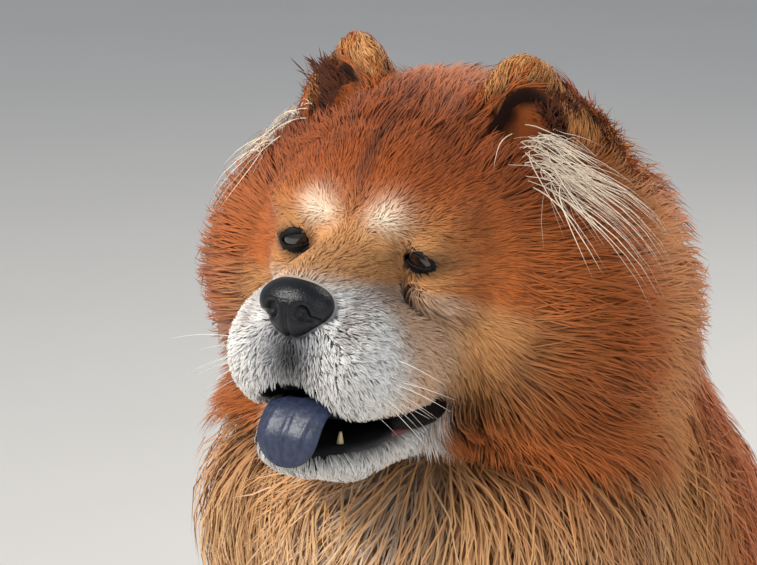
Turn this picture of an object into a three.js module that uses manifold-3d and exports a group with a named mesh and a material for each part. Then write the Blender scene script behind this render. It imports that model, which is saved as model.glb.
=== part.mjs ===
// A life-size chow chow that sits with its head up, its mouth a little open and its tongue over the lip.
// Millimetres, +Z up. The dog faces -Y, and its left side is +X.
// The body is one soft field of rounded forms. Each form has the depth of its coat and the way its hair lies.
// The field is turned into faceted solids, one for each part of the body, that meet with a thin gap.
import * as THREE from "three";
import { mergeVertices } from "three/addons/utils/BufferGeometryUtils.js";
import Module from "manifold-3d";

const wasm = await Module();
wasm.setup();

// Driving dimensions
const EYE_HEIGHT = 620;
const EYE_FORWARD = 250;
const EYE_SPACING = 84;
const SKULL_WIDTH = 136;
const SKULL_LENGTH = 164;
const MUZZLE_LENGTH = 72;
const MUZZLE_WIDTH = 100;
const MUZZLE_DEPTH = 78;
const NOSE_WIDTH = 49;
const EAR_HEIGHT = 96;
const EAR_WIDTH = 74;
const NECK_WIDTH = 164;
const CHEST_WIDTH = 212;
const HAUNCH_WIDTH = 276;
const FORELEG_SPACING = 142;
const PAW_WIDTH = 70;
const MANE_DEPTH = 70;
const BODY_COAT = 44;
const TAIL_COAT = 56;
const HEAD_ROLL_DEG = 2.5;
const GAP = 0.3;

// How far out the smooth core goes under the locks: 0 is the skin and 1 the tips of the coat.
const CORE_REACH = 0.48;

// Hair up to this deep is short: it has no locks, and the core goes out to its tips.
const SHORT_COAT = 12;

// Locks of long hair
const LOCK_HALF_WIDTH = 29;
const LOCK_HALF_THICKNESS = 13;
const LOCK_ROOT_DEPTH = 12;
const LOCK_LENGTH = [84, 120];
const LOCK_SEED = 7;

const EYE_MID = new THREE.Vector3(0, -EYE_FORWARD, EYE_HEIGHT);
const HEAD_TURN = new THREE.Quaternion().setFromEuler(
  new THREE.Euler(0, THREE.MathUtils.degToRad(HEAD_ROLL_DEG), 0),
);
const SIDES = [1, -1];

// Forms: an ellipsoid has a centre and three radii, and a limb has two ends with a radius each.
// The coat is how deep the hair is, and drift is how far the lie of the hair carries its tips.
const vector = (p) => new THREE.Vector3(...p);

function ellipsoid(at, radii, coatDepth, blend, drift = [0, 0, 0], turnDeg = [0, 0, 0]) {
  const turn = new THREE.Quaternion().setFromEuler(
    new THREE.Euler(...turnDeg.map(THREE.MathUtils.degToRad)),
  );
  const coat = Array.isArray(coatDepth) ? coatDepth : radii.map(() => coatDepth);
  const inverse = turn.clone().invert();
  return { at: vector(at), radii, coat, blend, turn, inverse, drift: vector(drift) };
}

function limb(from, to, radii, coat, blend) {
  return { from: vector(from), to: vector(to), radii, coat, blend };
}

// A form given in the head's own frame, whose origin is midway between the eyes.
function onHead(form) {
  const place = (p) => p.applyQuaternion(HEAD_TURN).add(EYE_MID);
  if (form.at) {
    place(form.at);
    form.drift.applyQuaternion(HEAD_TURN);
    form.turn.premultiply(HEAD_TURN);
    form.inverse.copy(form.turn).invert();
  } else {
    place(form.from);
    place(form.to);
  }
  return form;
}

const headPoint = (x, y, z) => new THREE.Vector3(x, y, z).applyQuaternion(HEAD_TURN).add(EYE_MID);
const pairs = (make) => SIDES.flatMap(make);

const skull = [
  ellipsoid([0, 80, 8], [SKULL_WIDTH / 2, SKULL_LENGTH / 2, 62], [16, 8, 20], 20, [0, 12, 0]),
  ellipsoid([0, 34, 18], [50, 38, 38], [8, 6, 12], 18, [0, 8, 0]),
  limb([0, 10, -12], [0, 22 - MUZZLE_LENGTH, -22], [25, 23], 3, 12),
  ellipsoid([0, -26, -46], [MUZZLE_WIDTH / 2 - 6, 44, MUZZLE_DEPTH / 2], 4, 12),
  ...pairs((s) => [
    ellipsoid([s * 24, 11, 21], [19, 15, 15], 6, 10),
    ellipsoid([s * 46, 22, 18], [19, 19, 14], 5, 10),
    ellipsoid([s * 44, 20, -18], [20, 19, 17], 4, 10),
    ellipsoid([s * 25, -38, -54], [MUZZLE_WIDTH / 4 + 1, 34, 33], 5, 10),
    ellipsoid([s * 36, -6, -62], [20, 34, 26], 6, 12),
    ellipsoid([s * 52, 68, -38], [38, 46, 52], [54, 22, 42], 20, [s * 12, 28, -4]),
    ellipsoid([s * 48, 66, 8], [30, 46, 36], [26, 12, 24], 18, [s * 4, 24, 2]),
  ]),
].map(onHead);

const jaw = [
  ellipsoid([0, -32, -102], [36, 36, 15], [5, 4, 7], 8),
  ...pairs((s) => [limb([s * 18, -30, -106], [s * 30, 48, -94], [15, 22], 8, 12)]),
].map(onHead);

const neck = [
  ellipsoid([0, -122, 568], [NECK_WIDTH / 2, 52, 72], [MANE_DEPTH - 4, 46, 60], 26, [0, 12, 0]),
  limb([0, -112, 560], [0, -85, 440], [72, 96], MANE_DEPTH - 14, 26),
  ellipsoid([0, -158, 440], [92, 62, 78], [MANE_DEPTH - 4, 50, 58], 26),
];

const trunk = [
  limb([0, -95, 400], [0, 118, 168], [CHEST_WIDTH / 2, 116], BODY_COAT, 26),
  ellipsoid([0, 145, 110], [112, 92, 108], BODY_COAT, 26),
  ...pairs((s) => [
    ellipsoid([s * 66, -98, 375], [42, 62, 95], BODY_COAT - 4, 26),
    ellipsoid([s * 56, -34, 392], [52, 76, 74], BODY_COAT + 4, 26),
  ]),
];

const forelegs = pairs((s) => {
  const x = (s * FORELEG_SPACING) / 2;
  return [
    limb([x, -118, 310], [x, -126, 62], [38, 27], 18, 22),
    limb([x, -98, 300], [x, -106, 110], [26, 15], 26, 18),
    ellipsoid([x, -148, 24], [PAW_WIDTH / 2, 46, 28], 5, 14),
  ];
});

const hindlegs = pairs((s) => [
  ellipsoid([s * (HAUNCH_WIDTH / 2 - 50), 82, 116], [50, 102, 84], 34, 24, [0, 0, 0], [-12, 0, 0]),
  limb([s * 104, 118, 30], [s * 104, 4, 28], [27, 25], 12, 18),
  ellipsoid([s * 104, -14, 24], [PAW_WIDTH / 2 - 2, 44, 27], 5, 14),
]);

const body = [...skull, ...neck, ...trunk, ...forelegs, ...hindlegs];

const tailBone = [
  [0, 222, 92],
  [0, 274, 142],
  [5, 282, 212],
  [12, 246, 274],
  [18, 190, 322],
];
const TAIL_RADII = [24, 20, 17, 14, 10];
const tailForms = tailBone
  .slice(1)
  .map((end, i) => limb(tailBone[i], end, [TAIL_RADII[i], TAIL_RADII[i + 1]], TAIL_COAT, 20));

// Distance from a point to a form whose coat is grown out to the share reach.
const inForm = new THREE.Vector3();
const along = new THREE.Vector3();

function formDistance(form, p, grownTo) {
  const reach = Math.max(...[form.coat].flat()) > SHORT_COAT ? grownTo : 1;
  if (form.at) {
    inForm.copy(p).sub(form.at).addScaledVector(form.drift, -reach).applyQuaternion(form.inverse);
    const [rx, ry, rz] = form.radii.map((r, i) => r + form.coat[i] * reach);
    const near = Math.hypot(inForm.x / rx, inForm.y / ry, inForm.z / rz);
    const slope = Math.hypot(inForm.x / rx ** 2, inForm.y / ry ** 2, inForm.z / rz ** 2);
    return slope > 0 ? (near * (near - 1)) / slope : -Math.min(rx, ry, rz);
  }
  along.copy(form.to).sub(form.from);
  inForm.copy(p).sub(form.from);
  const share = THREE.MathUtils.clamp(inForm.dot(along) / along.lengthSq(), 0, 1);
  const radius = THREE.MathUtils.lerp(...form.radii, share) + form.coat * reach;
  return inForm.addScaledVector(along, -share).length() - radius;
}

function softUnion(a, b, blend) {
  const mix = Math.max(blend - Math.abs(a - b), 0) / blend;
  return Math.min(a, b) - (mix * mix * blend) / 4;
}

const FAR = 1e4;
const fieldOf = (forms, reach) => (p) =>
  forms.reduce((d, form) => softUnion(d, formDistance(form, p, reach), form.blend), FAR);

const probe = new THREE.Vector3();

function slopeAt(field, p, step = 0.5) {
  const at = (axis, sign) => field(probe.copy(p).setComponent(axis, p.getComponent(axis) + sign * step));
  return new THREE.Vector3(...[0, 1, 2].map((axis) => (at(axis, 1) - at(axis, -1)) / (2 * step)));
}

// Moves a point that is near the surface of a field onto it.
function ontoSurface(field, p, furthest) {
  const slope = slopeAt(field, p);
  const step = -field(p) / Math.max(slope.lengthSq(), 0.2);
  if (Math.abs(step) * slope.length() < furthest) p.addScaledVector(slope, step);
}

// Grid lines from low to high. Each stretch of stops has its own spacing.
function gridLines(stops, spacings) {
  const lines = [stops[0]];
  spacings.forEach((spacing, i) => {
    const count = Math.max(1, Math.round((stops[i + 1] - stops[i]) / spacing));
    for (let k = 1; k <= count; k++) {
      lines.push(THREE.MathUtils.lerp(stops[i], stops[i + 1], k / count));
    }
  });
  return lines;
}

// The closed surface where the field is zero, by surface nets on a grid. The field is shut at the grid's edge.
function netSolid(field, xs, ys, zs) {
  const [nx, ny, nz] = [xs.length, ys.length, zs.length];
  const index = (i, j, k) => (k * ny + j) * nx + i;
  const values = new Float64Array(nx * ny * nz);
  for (let k = 0; k < nz; k++) {
    for (let j = 0; j < ny; j++) {
      for (let i = 0; i < nx; i++) {
        const edge = i === 0 || j === 0 || k === 0 || i === nx - 1 || j === ny - 1 || k === nz - 1;
        const d = field(new THREE.Vector3(xs[i], ys[j], zs[k]));
        values[index(i, j, k)] = edge ? Math.max(d, 1) : d || 1e-6;
      }
    }
  }
  const corners = [0, 1].flatMap((c) => [0, 1].flatMap((b) => [0, 1].map((a) => [a, b, c])));
  const edges = corners.flatMap(([a, b, c], n) =>
    corners.slice(n + 1).flatMap(([d, e, f], m) => {
      const apart = Math.abs(a - d) + Math.abs(b - e) + Math.abs(c - f);
      return apart === 1 ? [[n, n + 1 + m]] : [];
    }),
  );
  const vertexOf = new Map();
  const positions = [];
  for (let k = 0; k < nz - 1; k++) {
    for (let j = 0; j < ny - 1; j++) {
      for (let i = 0; i < nx - 1; i++) {
        const point = (n) => {
          const [a, b, c] = corners[n];
          return new THREE.Vector3(xs[i + a], ys[j + b], zs[k + c]);
        };
        const value = (n) => {
          const [a, b, c] = corners[n];
          return values[index(i + a, j + b, k + c)];
        };
        const crossings = edges.filter(([n, m]) => value(n) < 0 !== value(m) < 0);
        if (!crossings.length) continue;
        const mean = new THREE.Vector3();
        for (const [n, m] of crossings) {
          mean.add(point(n).lerp(point(m), value(n) / (value(n) - value(m))));
        }
        mean.divideScalar(crossings.length);
        const inside = i && j && k && i < nx - 2 && j < ny - 2 && k < nz - 2;
        if (inside) ontoSurface(field, mean, (xs[i + 1] - xs[i]) / 3);
        vertexOf.set(index(i, j, k), positions.length / 3);
        positions.push(mean.x, mean.y, mean.z);
      }
    }
  }
  const triangles = [];
  const quad = (a, b, c, d, flip) => {
    const turned = flip ? [a, c, b, a, d, c] : [a, b, c, a, c, d];
    triangles.push(...turned);
  };
  for (let k = 0; k < nz - 1; k++) {
    for (let j = 0; j < ny - 1; j++) {
      for (let i = 0; i < nx - 1; i++) {
        const here = values[index(i, j, k)] < 0;
        const cell = (a, b, c) => vertexOf.get(index(i - a, j - b, k - c));
        if (j && k && here !== values[index(i + 1, j, k)] < 0) {
          quad(cell(0, 0, 0), cell(0, 1, 0), cell(0, 1, 1), cell(0, 0, 1), !here);
        }
        if (i && k && here !== values[index(i, j + 1, k)] < 0) {
          quad(cell(0, 0, 0), cell(0, 0, 1), cell(1, 0, 1), cell(1, 0, 0), !here);
        }
        if (i && j && here !== values[index(i, j, k + 1)] < 0) {
          quad(cell(0, 0, 0), cell(1, 0, 0), cell(1, 1, 0), cell(0, 1, 0), !here);
        }
      }
    }
  }
  return new wasm.Manifold(
    new wasm.Mesh({
      numProp: 3,
      vertProperties: new Float32Array(positions),
      triVerts: new Uint32Array(triangles),
    }),
  );
}

// A solid from a three.js geometry.
function solidOf(geometry) {
  const bare = geometry.index ? geometry.toNonIndexed() : geometry.clone();
  const plain = new THREE.BufferGeometry().setAttribute("position", bare.getAttribute("position"));
  const merged = mergeVertices(plain, 1e-3);
  return new wasm.Manifold(
    new wasm.Mesh({
      numProp: 3,
      vertProperties: merged.attributes.position.array,
      triVerts: new Uint32Array(merged.index.array),
    }),
  );
}

// The largest closed surface of a solid, which leaves out loose scraps and sealed hollows.
function largest(solid) {
  const bodies = solid.decompose();
  return bodies.reduce((a, b) => (b.volume() > a.volume() ? b : a));
}

// Keeps the side of a plane that its normal points to, a little away from it.
const keepSide = (solid, point, normal, away = GAP / 2) => {
  const n = normal.clone().normalize();
  return solid.trimByPlane(n.toArray(), n.dot(point) + away);
};

function block(low, high) {
  const size = vector(high).sub(vector(low));
  const geometry = new THREE.BoxGeometry(size.x, size.y, size.z);
  geometry.translate(...vector(low).addScaledVector(size, 0.5).toArray());
  return solidOf(geometry);
}

// Cuts away what lies under the floor.
const onFloor = (solid) => solid.trimByPlane([0, 0, 1], 0);

// The same solid, a little larger all round, to cut its neighbour clear of it. Each corner moves so far
// that every face round it has moved out by that much.
function grown(solid, by = 1.2 * GAP) {
  const { vertProperties, triVerts } = solid.getMesh();
  const corner = (v) => new THREE.Vector3().fromArray(vertProperties, v * 3);
  const moves = Array.from({ length: vertProperties.length / 3 }, () => new THREE.Vector3());
  const faces = [];
  for (let t = 0; t < triVerts.length; t += 3) {
    const verts = [...triVerts.slice(t, t + 3)];
    const normal = new THREE.Triangle(...verts.map(corner)).getNormal(new THREE.Vector3());
    faces.push({ verts, normal });
  }
  for (let pass = 0; pass < 40; pass++) {
    for (const { verts, normal } of faces) {
      for (const v of verts) {
        const short = by - moves[v].dot(normal);
        if (short > 0) moves[v].addScaledVector(normal, short);
      }
    }
  }
  const moved = vertProperties.slice();
  moves.forEach((move, v) => corner(v).add(move.clampLength(0, 5 * by)).toArray(moved, v * 3));
  return new wasm.Manifold(new wasm.Mesh({ numProp: 3, vertProperties: moved, triVerts }));
}

// What is left of a solid when other parts and a thin gap round each are cut out of it
function clearOf(solid, others) {
  const cuts = others.flatMap((other) => [other, grown(other)]);
  return largest(wasm.Manifold.difference([solid, ...cuts]));
}

// The cuts between the parts of the body
const NAPE = { point: headPoint(0, 86, 0), normal: vector([0, 0.94, -0.335]) };
const THROAT = { point: headPoint(0, 0, -127), normal: vector([0, -0.08, 1]) };
const SHOULDER = { point: vector([0, -140, 468]), normal: vector([0, 0.517, -0.856]) };
const JAW_CUT = { point: headPoint(0, 56, -90), normal: vector([0, -1, -0.2]) };
const FORE_WRIST = { point: vector([0, -110, 60]), normal: vector([0, 0.35, 1]) };
const ELBOW_HEIGHT = 284;
const HIP_INSET = 64;
const HIP_HEIGHT = 226;

// A block on one side, between an inner and an outer distance from the middle.
function sideBlock(s, [inner, back, low], [outer, front, high]) {
  const [left, right] = [s * inner, s * outer].sort((a, b) => a - b);
  return block([left, back, low], [right, front, high]);
}

const forelegBlock = (s, by) =>
  sideBlock(s, [28 - by, -240 - by, -30], [160 + by, -66 + by, ELBOW_HEIGHT + by]);
const hindlegBlock = (s, by) =>
  sideBlock(s, [HIP_INSET - by, -65 - by, -30], [230 + by, 228 + by, HIP_HEIGHT + by]);
const hindpawBlock = (s, by) => sideBlock(s, [50, -140, -30], [240, 8 + by, 62 + by]);

// The forms that come near a box, so that a small part is quick to work out.
function nearForms(forms, low, high, margin = 60) {
  const box = new THREE.Box3(vector(low), vector(high)).expandByScalar(margin);
  return forms.filter((form) => {
    const size = Math.max(...form.radii) + Math.max(...[form.coat].flat());
    const reach = new THREE.Box3().setFromPoints(form.at ? [form.at] : [form.from, form.to]);
    return box.intersectsBox(reach.expandByScalar(size));
  });
}

// The part of a field that lies in a box, with the grid spacings of its three axes.
function partOf(forms, low, high, spacing, extra = (d) => d) {
  const field = fieldOf(nearForms(forms, low, high), CORE_REACH);
  const axes = [0, 1, 2].map((i) => gridLines([low[i], high[i]], [spacing]));
  return netSolid((p) => extra(field(p), p), ...axes);
}

// The open mouth: a hollow behind the lips, highest at the middle of the upper lip.
const roof = onHead(ellipsoid([0, -46, -92], [28, 62, 29], 0, 1));
const slit = onHead(ellipsoid([0, -14, -91], [72, 56, 6], 0, 1, [0, 0, 0], [7, 0, 0]));
const mouthHollow = (p) => softUnion(formDistance(roof, p, 0), formDistance(slit, p, 0), 6);
const withMouth = (d, p) => Math.max(d, -mouthHollow(p));

const EYE_RADIUS = 12.5;
const EYE_DEPTH = 11;
const LID_THICKNESS = 3.6;
const LID_OPEN_HALF = 5;
const eyeCentre = (s) => headPoint((s * EYE_SPACING) / 2, EYE_DEPTH, 0);

// A solid ellipsoid, for a small round part or hollow.
function roundSolid(form, sides = 14) {
  const geometry = new THREE.SphereGeometry(1, sides, Math.ceil(sides * 0.6));
  geometry.scale(...form.radii).applyQuaternion(form.turn).translate(...form.at.toArray());
  return solidOf(geometry);
}

const eyeSolid = (s) =>
  roundSolid(ellipsoid(eyeCentre(s).toArray(), [EYE_RADIUS, EYE_RADIUS, EYE_RADIUS], 0, 1), 12);

// The slit between the lids, whose outer corner is lower and further back.
function eyeOpening(s, halfWidth, halfHeight) {
  const at = [(s * EYE_SPACING) / 2, EYE_DEPTH - 20, -1];
  const turn = [0, s * 14, s * 20];
  return roundSolid(onHead(ellipsoid(at, [halfWidth, 26, halfHeight], 0, 1, [0, 0, 0], turn)), 10);
}

// The two lids of one eye, as a thick skin over the front of the eyeball with a slit between them.
function lidSolid(s, eye) {
  const radii = [1, 1, 1].map(() => EYE_RADIUS + LID_THICKNESS);
  const skin = roundSolid(ellipsoid(eyeCentre(s).toArray(), radii, 0, 1), 12);
  return skin.subtract(grown(eye)).subtract(eyeOpening(s, 13, LID_OPEN_HALF));
}

// One ear: a rounded leaf, taller at its inner side, with a deep cup that faces forward and out.
function earSolid(s) {
  const turn = [10, 0, s * 24];
  const leaf = (at, radii, sides) => roundSolid(onHead(ellipsoid(at, radii, 0, 1, [0, 0, 0], turn)), sides);
  const tip = leaf([s * 54, 98, 66], [EAR_WIDTH / 2 - 9, 17, EAR_HEIGHT / 2 - 4], 11);
  const skirt = leaf([s * 70, 102, 48], [EAR_WIDTH / 2 - 3, 17, EAR_HEIGHT / 2 - 8], 11);
  const cup = leaf([s * 64, 84, 57], [23, 17, 34], 10);
  return largest(tip.add(skirt).subtract(cup));
}

// The nose leather, with two nostrils that run out to the sides in a slit.
function noseSolid() {
  const pad = onHead(ellipsoid([0, -63, -20], [NOSE_WIDTH / 2, 16, 16], 0, 6));
  const foot = onHead(ellipsoid([0, -66, -30], [14, 12, 14], 0, 8));
  const holes = SIDES.flatMap((s) => [
    onHead(ellipsoid([s * 10, -80, -22], [5.5, 10, 6.5], 0, 3)),
    onHead(ellipsoid([s * 20, -72, -28], [9, 8, 3.2], 0, 3, [0, 0, 0], [0, s * 20, 0])),
  ]);
  const field = (p) => Math.max(fieldOf([pad, foot], 0)(p), -fieldOf(holes, 0)(p));
  const [low, high] = headBox([-32, -86, -50], [32, -40, 2]);
  return largest(netSolid(field, ...low.map((v, i) => gridLines([v, high[i]], [6]))));
}

// The tongue runs forward over the lower lip and hangs in front of it, with a furrow down its middle.
const TONGUE_HALF_WIDTH = 22;
const TONGUE_PATH = [
  [0, 0, -96],
  [0, -34, -88],
  [0, -62, -80],
  [-1, -76, -92],
  [-2, -80, -112],
];

function tongueSolid() {
  const curve = new THREE.CatmullRomCurve3(TONGUE_PATH.map((p) => headPoint(...p)));
  const steps = 12;
  const sides = 10;
  const across = vector([1, 0, 0]).applyQuaternion(HEAD_TURN);
  const positions = [];
  for (let i = 0; i <= steps; i++) {
    const share = i / steps;
    const centre = curve.getPoint(share);
    const up = new THREE.Vector3().crossVectors(curve.getTangent(share), across).normalize();
    const round = Math.sqrt(Math.max(0.04, 1 - Math.max(0, (share - 0.62) / 0.38) ** 2));
    for (let k = 0; k < sides; k++) {
      const turn = (2 * Math.PI * k) / sides;
      const furrow = Math.sin(turn) > 0.5 && Math.abs(Math.cos(turn)) < 0.4 ? 0.45 : 1;
      const point = centre
        .clone()
        .addScaledVector(across, TONGUE_HALF_WIDTH * round * (0.82 + 0.18 * share) * Math.cos(turn))
        .addScaledVector(up, 4.6 * furrow * Math.sin(turn));
      positions.push(...point.toArray());
    }
  }
  return loftSolid(positions, sides);
}

// A closed solid from rings of points, each ring with the same number of them. It ends in a flat cap or a tip.
function loftSolid(positions, sides, tip) {
  const rings = positions.length / 3 / sides;
  const triangles = [];
  for (let i = 0; i < rings - 1; i++) {
    for (let k = 0; k < sides; k++) {
      const [a, b] = [i * sides + k, i * sides + ((k + 1) % sides)];
      triangles.push(a, b, b + sides, a, b + sides, a + sides);
    }
  }
  const last = (rings - 1) * sides;
  for (let k = 1; k < sides - 1; k++) {
    triangles.push(0, k + 1, k);
    if (!tip) triangles.push(last, last + k, last + k + 1);
  }
  for (let k = 0; tip && k < sides; k++) {
    triangles.push(last + k, last + ((k + 1) % sides), rings * sides);
  }
  const vertProperties = new Float32Array([...positions, ...(tip ? tip.toArray() : [])]);
  const made = (order) =>
    new wasm.Manifold(
      new wasm.Mesh({ numProp: 3, vertProperties, triVerts: new Uint32Array(order) }),
    );
  const solid = made(triangles);
  return solid.volume() > 0 ? solid : made([...triangles].reverse());
}

// A pointed cone from its root to its tip, for teeth and claws.
function spikeSolid(root, tip, radius, sides = 6) {
  const axis = tip.clone().sub(root);
  const geometry = new THREE.ConeGeometry(radius, axis.length(), sides);
  geometry.translate(0, axis.length() / 2, 0);
  geometry.applyQuaternion(
    new THREE.Quaternion().setFromUnitVectors(vector([0, 1, 0]), axis.normalize()),
  );
  geometry.translate(...root.toArray());
  return solidOf(geometry);
}

const headBox = (low, high) => [low, high].map((v) => v.map((c, i) => c + EYE_MID.getComponent(i)));

// The room for the head, in front of the nape and above the throat.
function headRoom(by) {
  const [low, high] = headBox([-200, -140, -170], [200, 180, 150]);
  const front = keepSide(block(low, high), NAPE.point, NAPE.normal.clone().negate(), -by);
  return keepSide(front, THROAT.point, THROAT.normal, -by);
}

function headSolid(inserts) {
  const [low, high] = headBox([-170, -92, -156], [170, 150, 116]);
  const field = fieldOf(nearForms(body, low, high), CORE_REACH);
  const xs = gridLines([low[0], -62, 62, high[0]], [30, 13.8, 30]);
  const ys = gridLines([low[1], low[1] + 108, high[1]], [14, 34]);
  const zs = gridLines([low[2], low[2] + 48, low[2] + 190, high[2]], [24, 14, 30]);
  let solid = netSolid((p) => withMouth(field(p), p), xs, ys, zs);
  solid = solid.intersect(headRoom(-GAP / 2));
  const sockets = SIDES.map((s) => eyeOpening(s, 16, LID_OPEN_HALF + 5));
  solid = wasm.Manifold.difference([solid, ...sockets]);
  const lids = SIDES.map((s, i) => lidSolid(s, eyes[i]));
  return clearOf(wasm.Manifold.union([solid, ...lids]), inserts);
}

function jawSolid(tongue) {
  const [low, high] = headBox([-60, -92, -150], [60, 76, -60]);
  const field = fieldOf(jaw, CORE_REACH);
  const lines = low.map((v, i) => gridLines([v, high[i]], [14]));
  const whole = netSolid((p) => withMouth(field(p), p), ...lines);
  const cut = keepSide(whole, JAW_CUT.point, JAW_CUT.normal);
  const canines = SIDES.map((s) =>
    spikeSolid(headPoint(s * 22, -50, -104), headPoint(s * 23, -52, -84), 4.5),
  );
  return clearOf(wasm.Manifold.union([cut, ...canines]), [tongue]);
}

function neckSolid(inserts) {
  const low = [-176, -300, 330];
  const high = [176, 40, 740];
  let solid = partOf(body, low, high, 42, withMouth);
  solid = solid.subtract(headRoom(GAP / 2));
  solid = keepSide(solid, SHOULDER.point, SHOULDER.normal.clone().negate());
  return clearOf(solid, inserts);
}

function torsoSolid(tail) {
  let solid = partOf(body, [-200, -290, -30], [200, 320, 600], 50);
  solid = keepSide(onFloor(solid), SHOULDER.point, SHOULDER.normal);
  const legs = SIDES.flatMap((s) => [forelegBlock(s, 0), hindlegBlock(s, 0)]);
  return clearOf(wasm.Manifold.difference([solid, ...legs]), [tail]);
}

function tailSolid() {
  const solid = partOf(tailForms, [-110, 130, -20], [120, 420, 400], 34);
  return largest(onFloor(solid));
}

function forelegSolid(s) {
  const [left, right] = [s * 10, s * 160].sort((a, b) => a - b);
  let solid = partOf(body, [left, -250, -20], [right, -30, 310], 27);
  solid = solid.intersect(forelegBlock(s, -GAP));
  return largest(keepSide(solid, FORE_WRIST.point, FORE_WRIST.normal));
}

function hindlegSolid(s, tail) {
  const [left, right] = [s * 50, s * 230].sort((a, b) => a - b);
  let solid = partOf(body, [left, -120, -30], [right, 260, 250], 36);
  solid = onFloor(solid.intersect(hindlegBlock(s, -GAP)));
  return clearOf(solid.subtract(hindpawBlock(s, 0)), [tail]);
}

// A paw has four toes, each with a blunt claw. The sole is flat on the floor.
const TOE_OFFSETS = [-24, -8.5, 8.5, 24];

function pawSolid(s, middle, front, cutBlock) {
  const centre = s * middle;
  const toes = TOE_OFFSETS.map((dx) => {
    const back = Math.abs(dx) > 12 ? 9 : 0;
    return { x: centre + dx, y: front + back };
  });
  const forms = [
    ...toes.map(({ x, y }) => ellipsoid([x, y + 16, 19], [9.5, 17, 17], 2, 5)),
    ...nearForms(body, [centre - 50, front - 5, -5], [centre + 50, front + 120, 70]),
  ];
  const field = fieldOf(forms, CORE_REACH);
  const lines = [
    gridLines([centre - 48, centre + 48], [10.6]),
    gridLines([front - 10, front + 50, front + 110], [11, 20]),
    gridLines([-14, 84], [12]),
  ];
  const pad = onFloor(netSolid(field, ...lines).intersect(cutBlock));
  const claws = toes.map(({ x, y }) =>
    spikeSolid(vector([x, y + 10, 17]), vector([x, y - 8, 4]), 3.6),
  );
  return largest(wasm.Manifold.union([pad, ...claws]));
}

const forepawSolid = (s) => {
  const reach = forelegBlock(s, -GAP);
  const cut = keepSide(reach, FORE_WRIST.point, FORE_WRIST.normal.clone().negate());
  return pawSolid(s, FORELEG_SPACING / 2, -196, cut);
};
const hindpawSolid = (s) =>
  pawSolid(s, 104, -60, hindlegBlock(s, -GAP).intersect(hindpawBlock(s, -GAP)));

// Random numbers from 0 to 1, the same on every run
let randomState = LOCK_SEED;
function random() {
  randomState = (randomState + 0x6d2b79f5) | 0;
  let mixed = Math.imul(randomState ^ (randomState >>> 15), 1 | randomState);
  mixed = (mixed + Math.imul(mixed ^ (mixed >>> 7), 61 | mixed)) ^ mixed;
  return ((mixed ^ (mixed >>> 14)) >>> 0) / 2 ** 32;
}
const between = (low, high) => THREE.MathUtils.lerp(low, high, random());

// Which way the hair lies. On the head and ruff it streams back and out from the face, and below it falls.
const FACE_MIDDLE = headPoint(0, -30, -16);
function bodyLie(p) {
  const ruff = THREE.MathUtils.smoothstep(p.z, 430, 580);
  const away = p.clone().sub(FACE_MIDDLE).normalize();
  const fall = vector([0, p.y > -60 ? 0.45 : 0.05, -1]);
  return away.add(vector([0, 0.25, -0.3])).multiplyScalar(ruff).addScaledVector(fall, 1 - ruff);
}

// On the tail the hair follows the bone and spreads away from it.
function tailLie(p) {
  const bone = tailBone.map(vector);
  const near = bone.slice(1).map((end, i) => {
    const line = new THREE.Line3(bone[i], end);
    const foot = line.closestPointToPoint(p, true, new THREE.Vector3());
    return { apart: foot.distanceTo(p), way: end.clone().sub(bone[i]).normalize() };
  });
  return near.reduce((a, b) => (b.apart < a.apart ? b : a)).way;
}

// Moves a point onto the surface of a field along its slope.
function settle(field, p) {
  for (let i = 0; i < 4; i++) {
    const slope = slopeAt(field, p);
    p.addScaledVector(slope, -field(p) / Math.max(slope.lengthSq(), 0.2));
  }
  return p;
}

// One flat lock. It leaves its root inside the core, bends over to lie along the coat, rises through the
// coat towards its tips and thins to a point.
const LOCK_STATIONS = [
  { share: 0, wide: 0.8, thick: 1 },
  { share: 0.3, wide: 1, thick: 1 },
  { share: 0.62, wide: 0.82, thick: 0.72 },
  { share: 0.85, wide: 0.45, thick: 0.4 },
  { share: 1, wide: 0, thick: 0 },
];

function lockSolid(forms, lie, root, length, width, thickness, tipReach) {
  const point = root.clone();
  const positions = [];
  for (const [i, { share, wide, thick }] of LOCK_STATIONS.entries()) {
    const reach = THREE.MathUtils.lerp(CORE_REACH + 0.1, tipReach, share ** 0.6);
    const field = fieldOf(forms, reach);
    const normal = slopeAt(field, point).normalize();
    const way = lie(point).projectOnPlane(normal).normalize();
    if (i > 0) {
      point.addScaledVector(way, length * (share - LOCK_STATIONS[i - 1].share));
      settle(field, point);
    }
    const out = slopeAt(field, point).normalize();
    const across = new THREE.Vector3().crossVectors(out, way).normalize();
    const centre = i === 0 ? point.clone().addScaledVector(out, -LOCK_ROOT_DEPTH) : point;
    const [w, t] = [width * wide, thickness * thick];
    if (i === LOCK_STATIONS.length - 1) continue;
    for (const [a, b] of [[w, -0.6 * t], [0, 0.45 * t], [-w, -0.6 * t], [0, -t]]) {
      positions.push(...centre.clone().addScaledVector(across, a).addScaledVector(out, b).toArray());
    }
  }
  return loftSolid(positions, 4, point);
}

// A random point on a solid's surface, by area.
function surfaceSampler(solid) {
  const { vertProperties, triVerts } = solid.getMesh();
  const corner = (v) => new THREE.Vector3().fromArray(vertProperties, v * 3);
  const faces = [];
  let total = 0;
  for (let t = 0; t < triVerts.length; t += 3) {
    const face = new THREE.Triangle(...[...triVerts.slice(t, t + 3)].map(corner));
    total += face.getArea();
    faces.push({ face, upTo: total });
  }
  return () => {
    const pick = random() * total;
    const { face } = faces.find(({ upTo }) => upTo >= pick);
    const [u, v] = [random(), random()].sort((m, n) => m - n);
    return face.a
      .clone()
      .multiplyScalar(u)
      .addScaledVector(face.b, v - u)
      .addScaledVector(face.c, 1 - v);
  };
}

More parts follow.
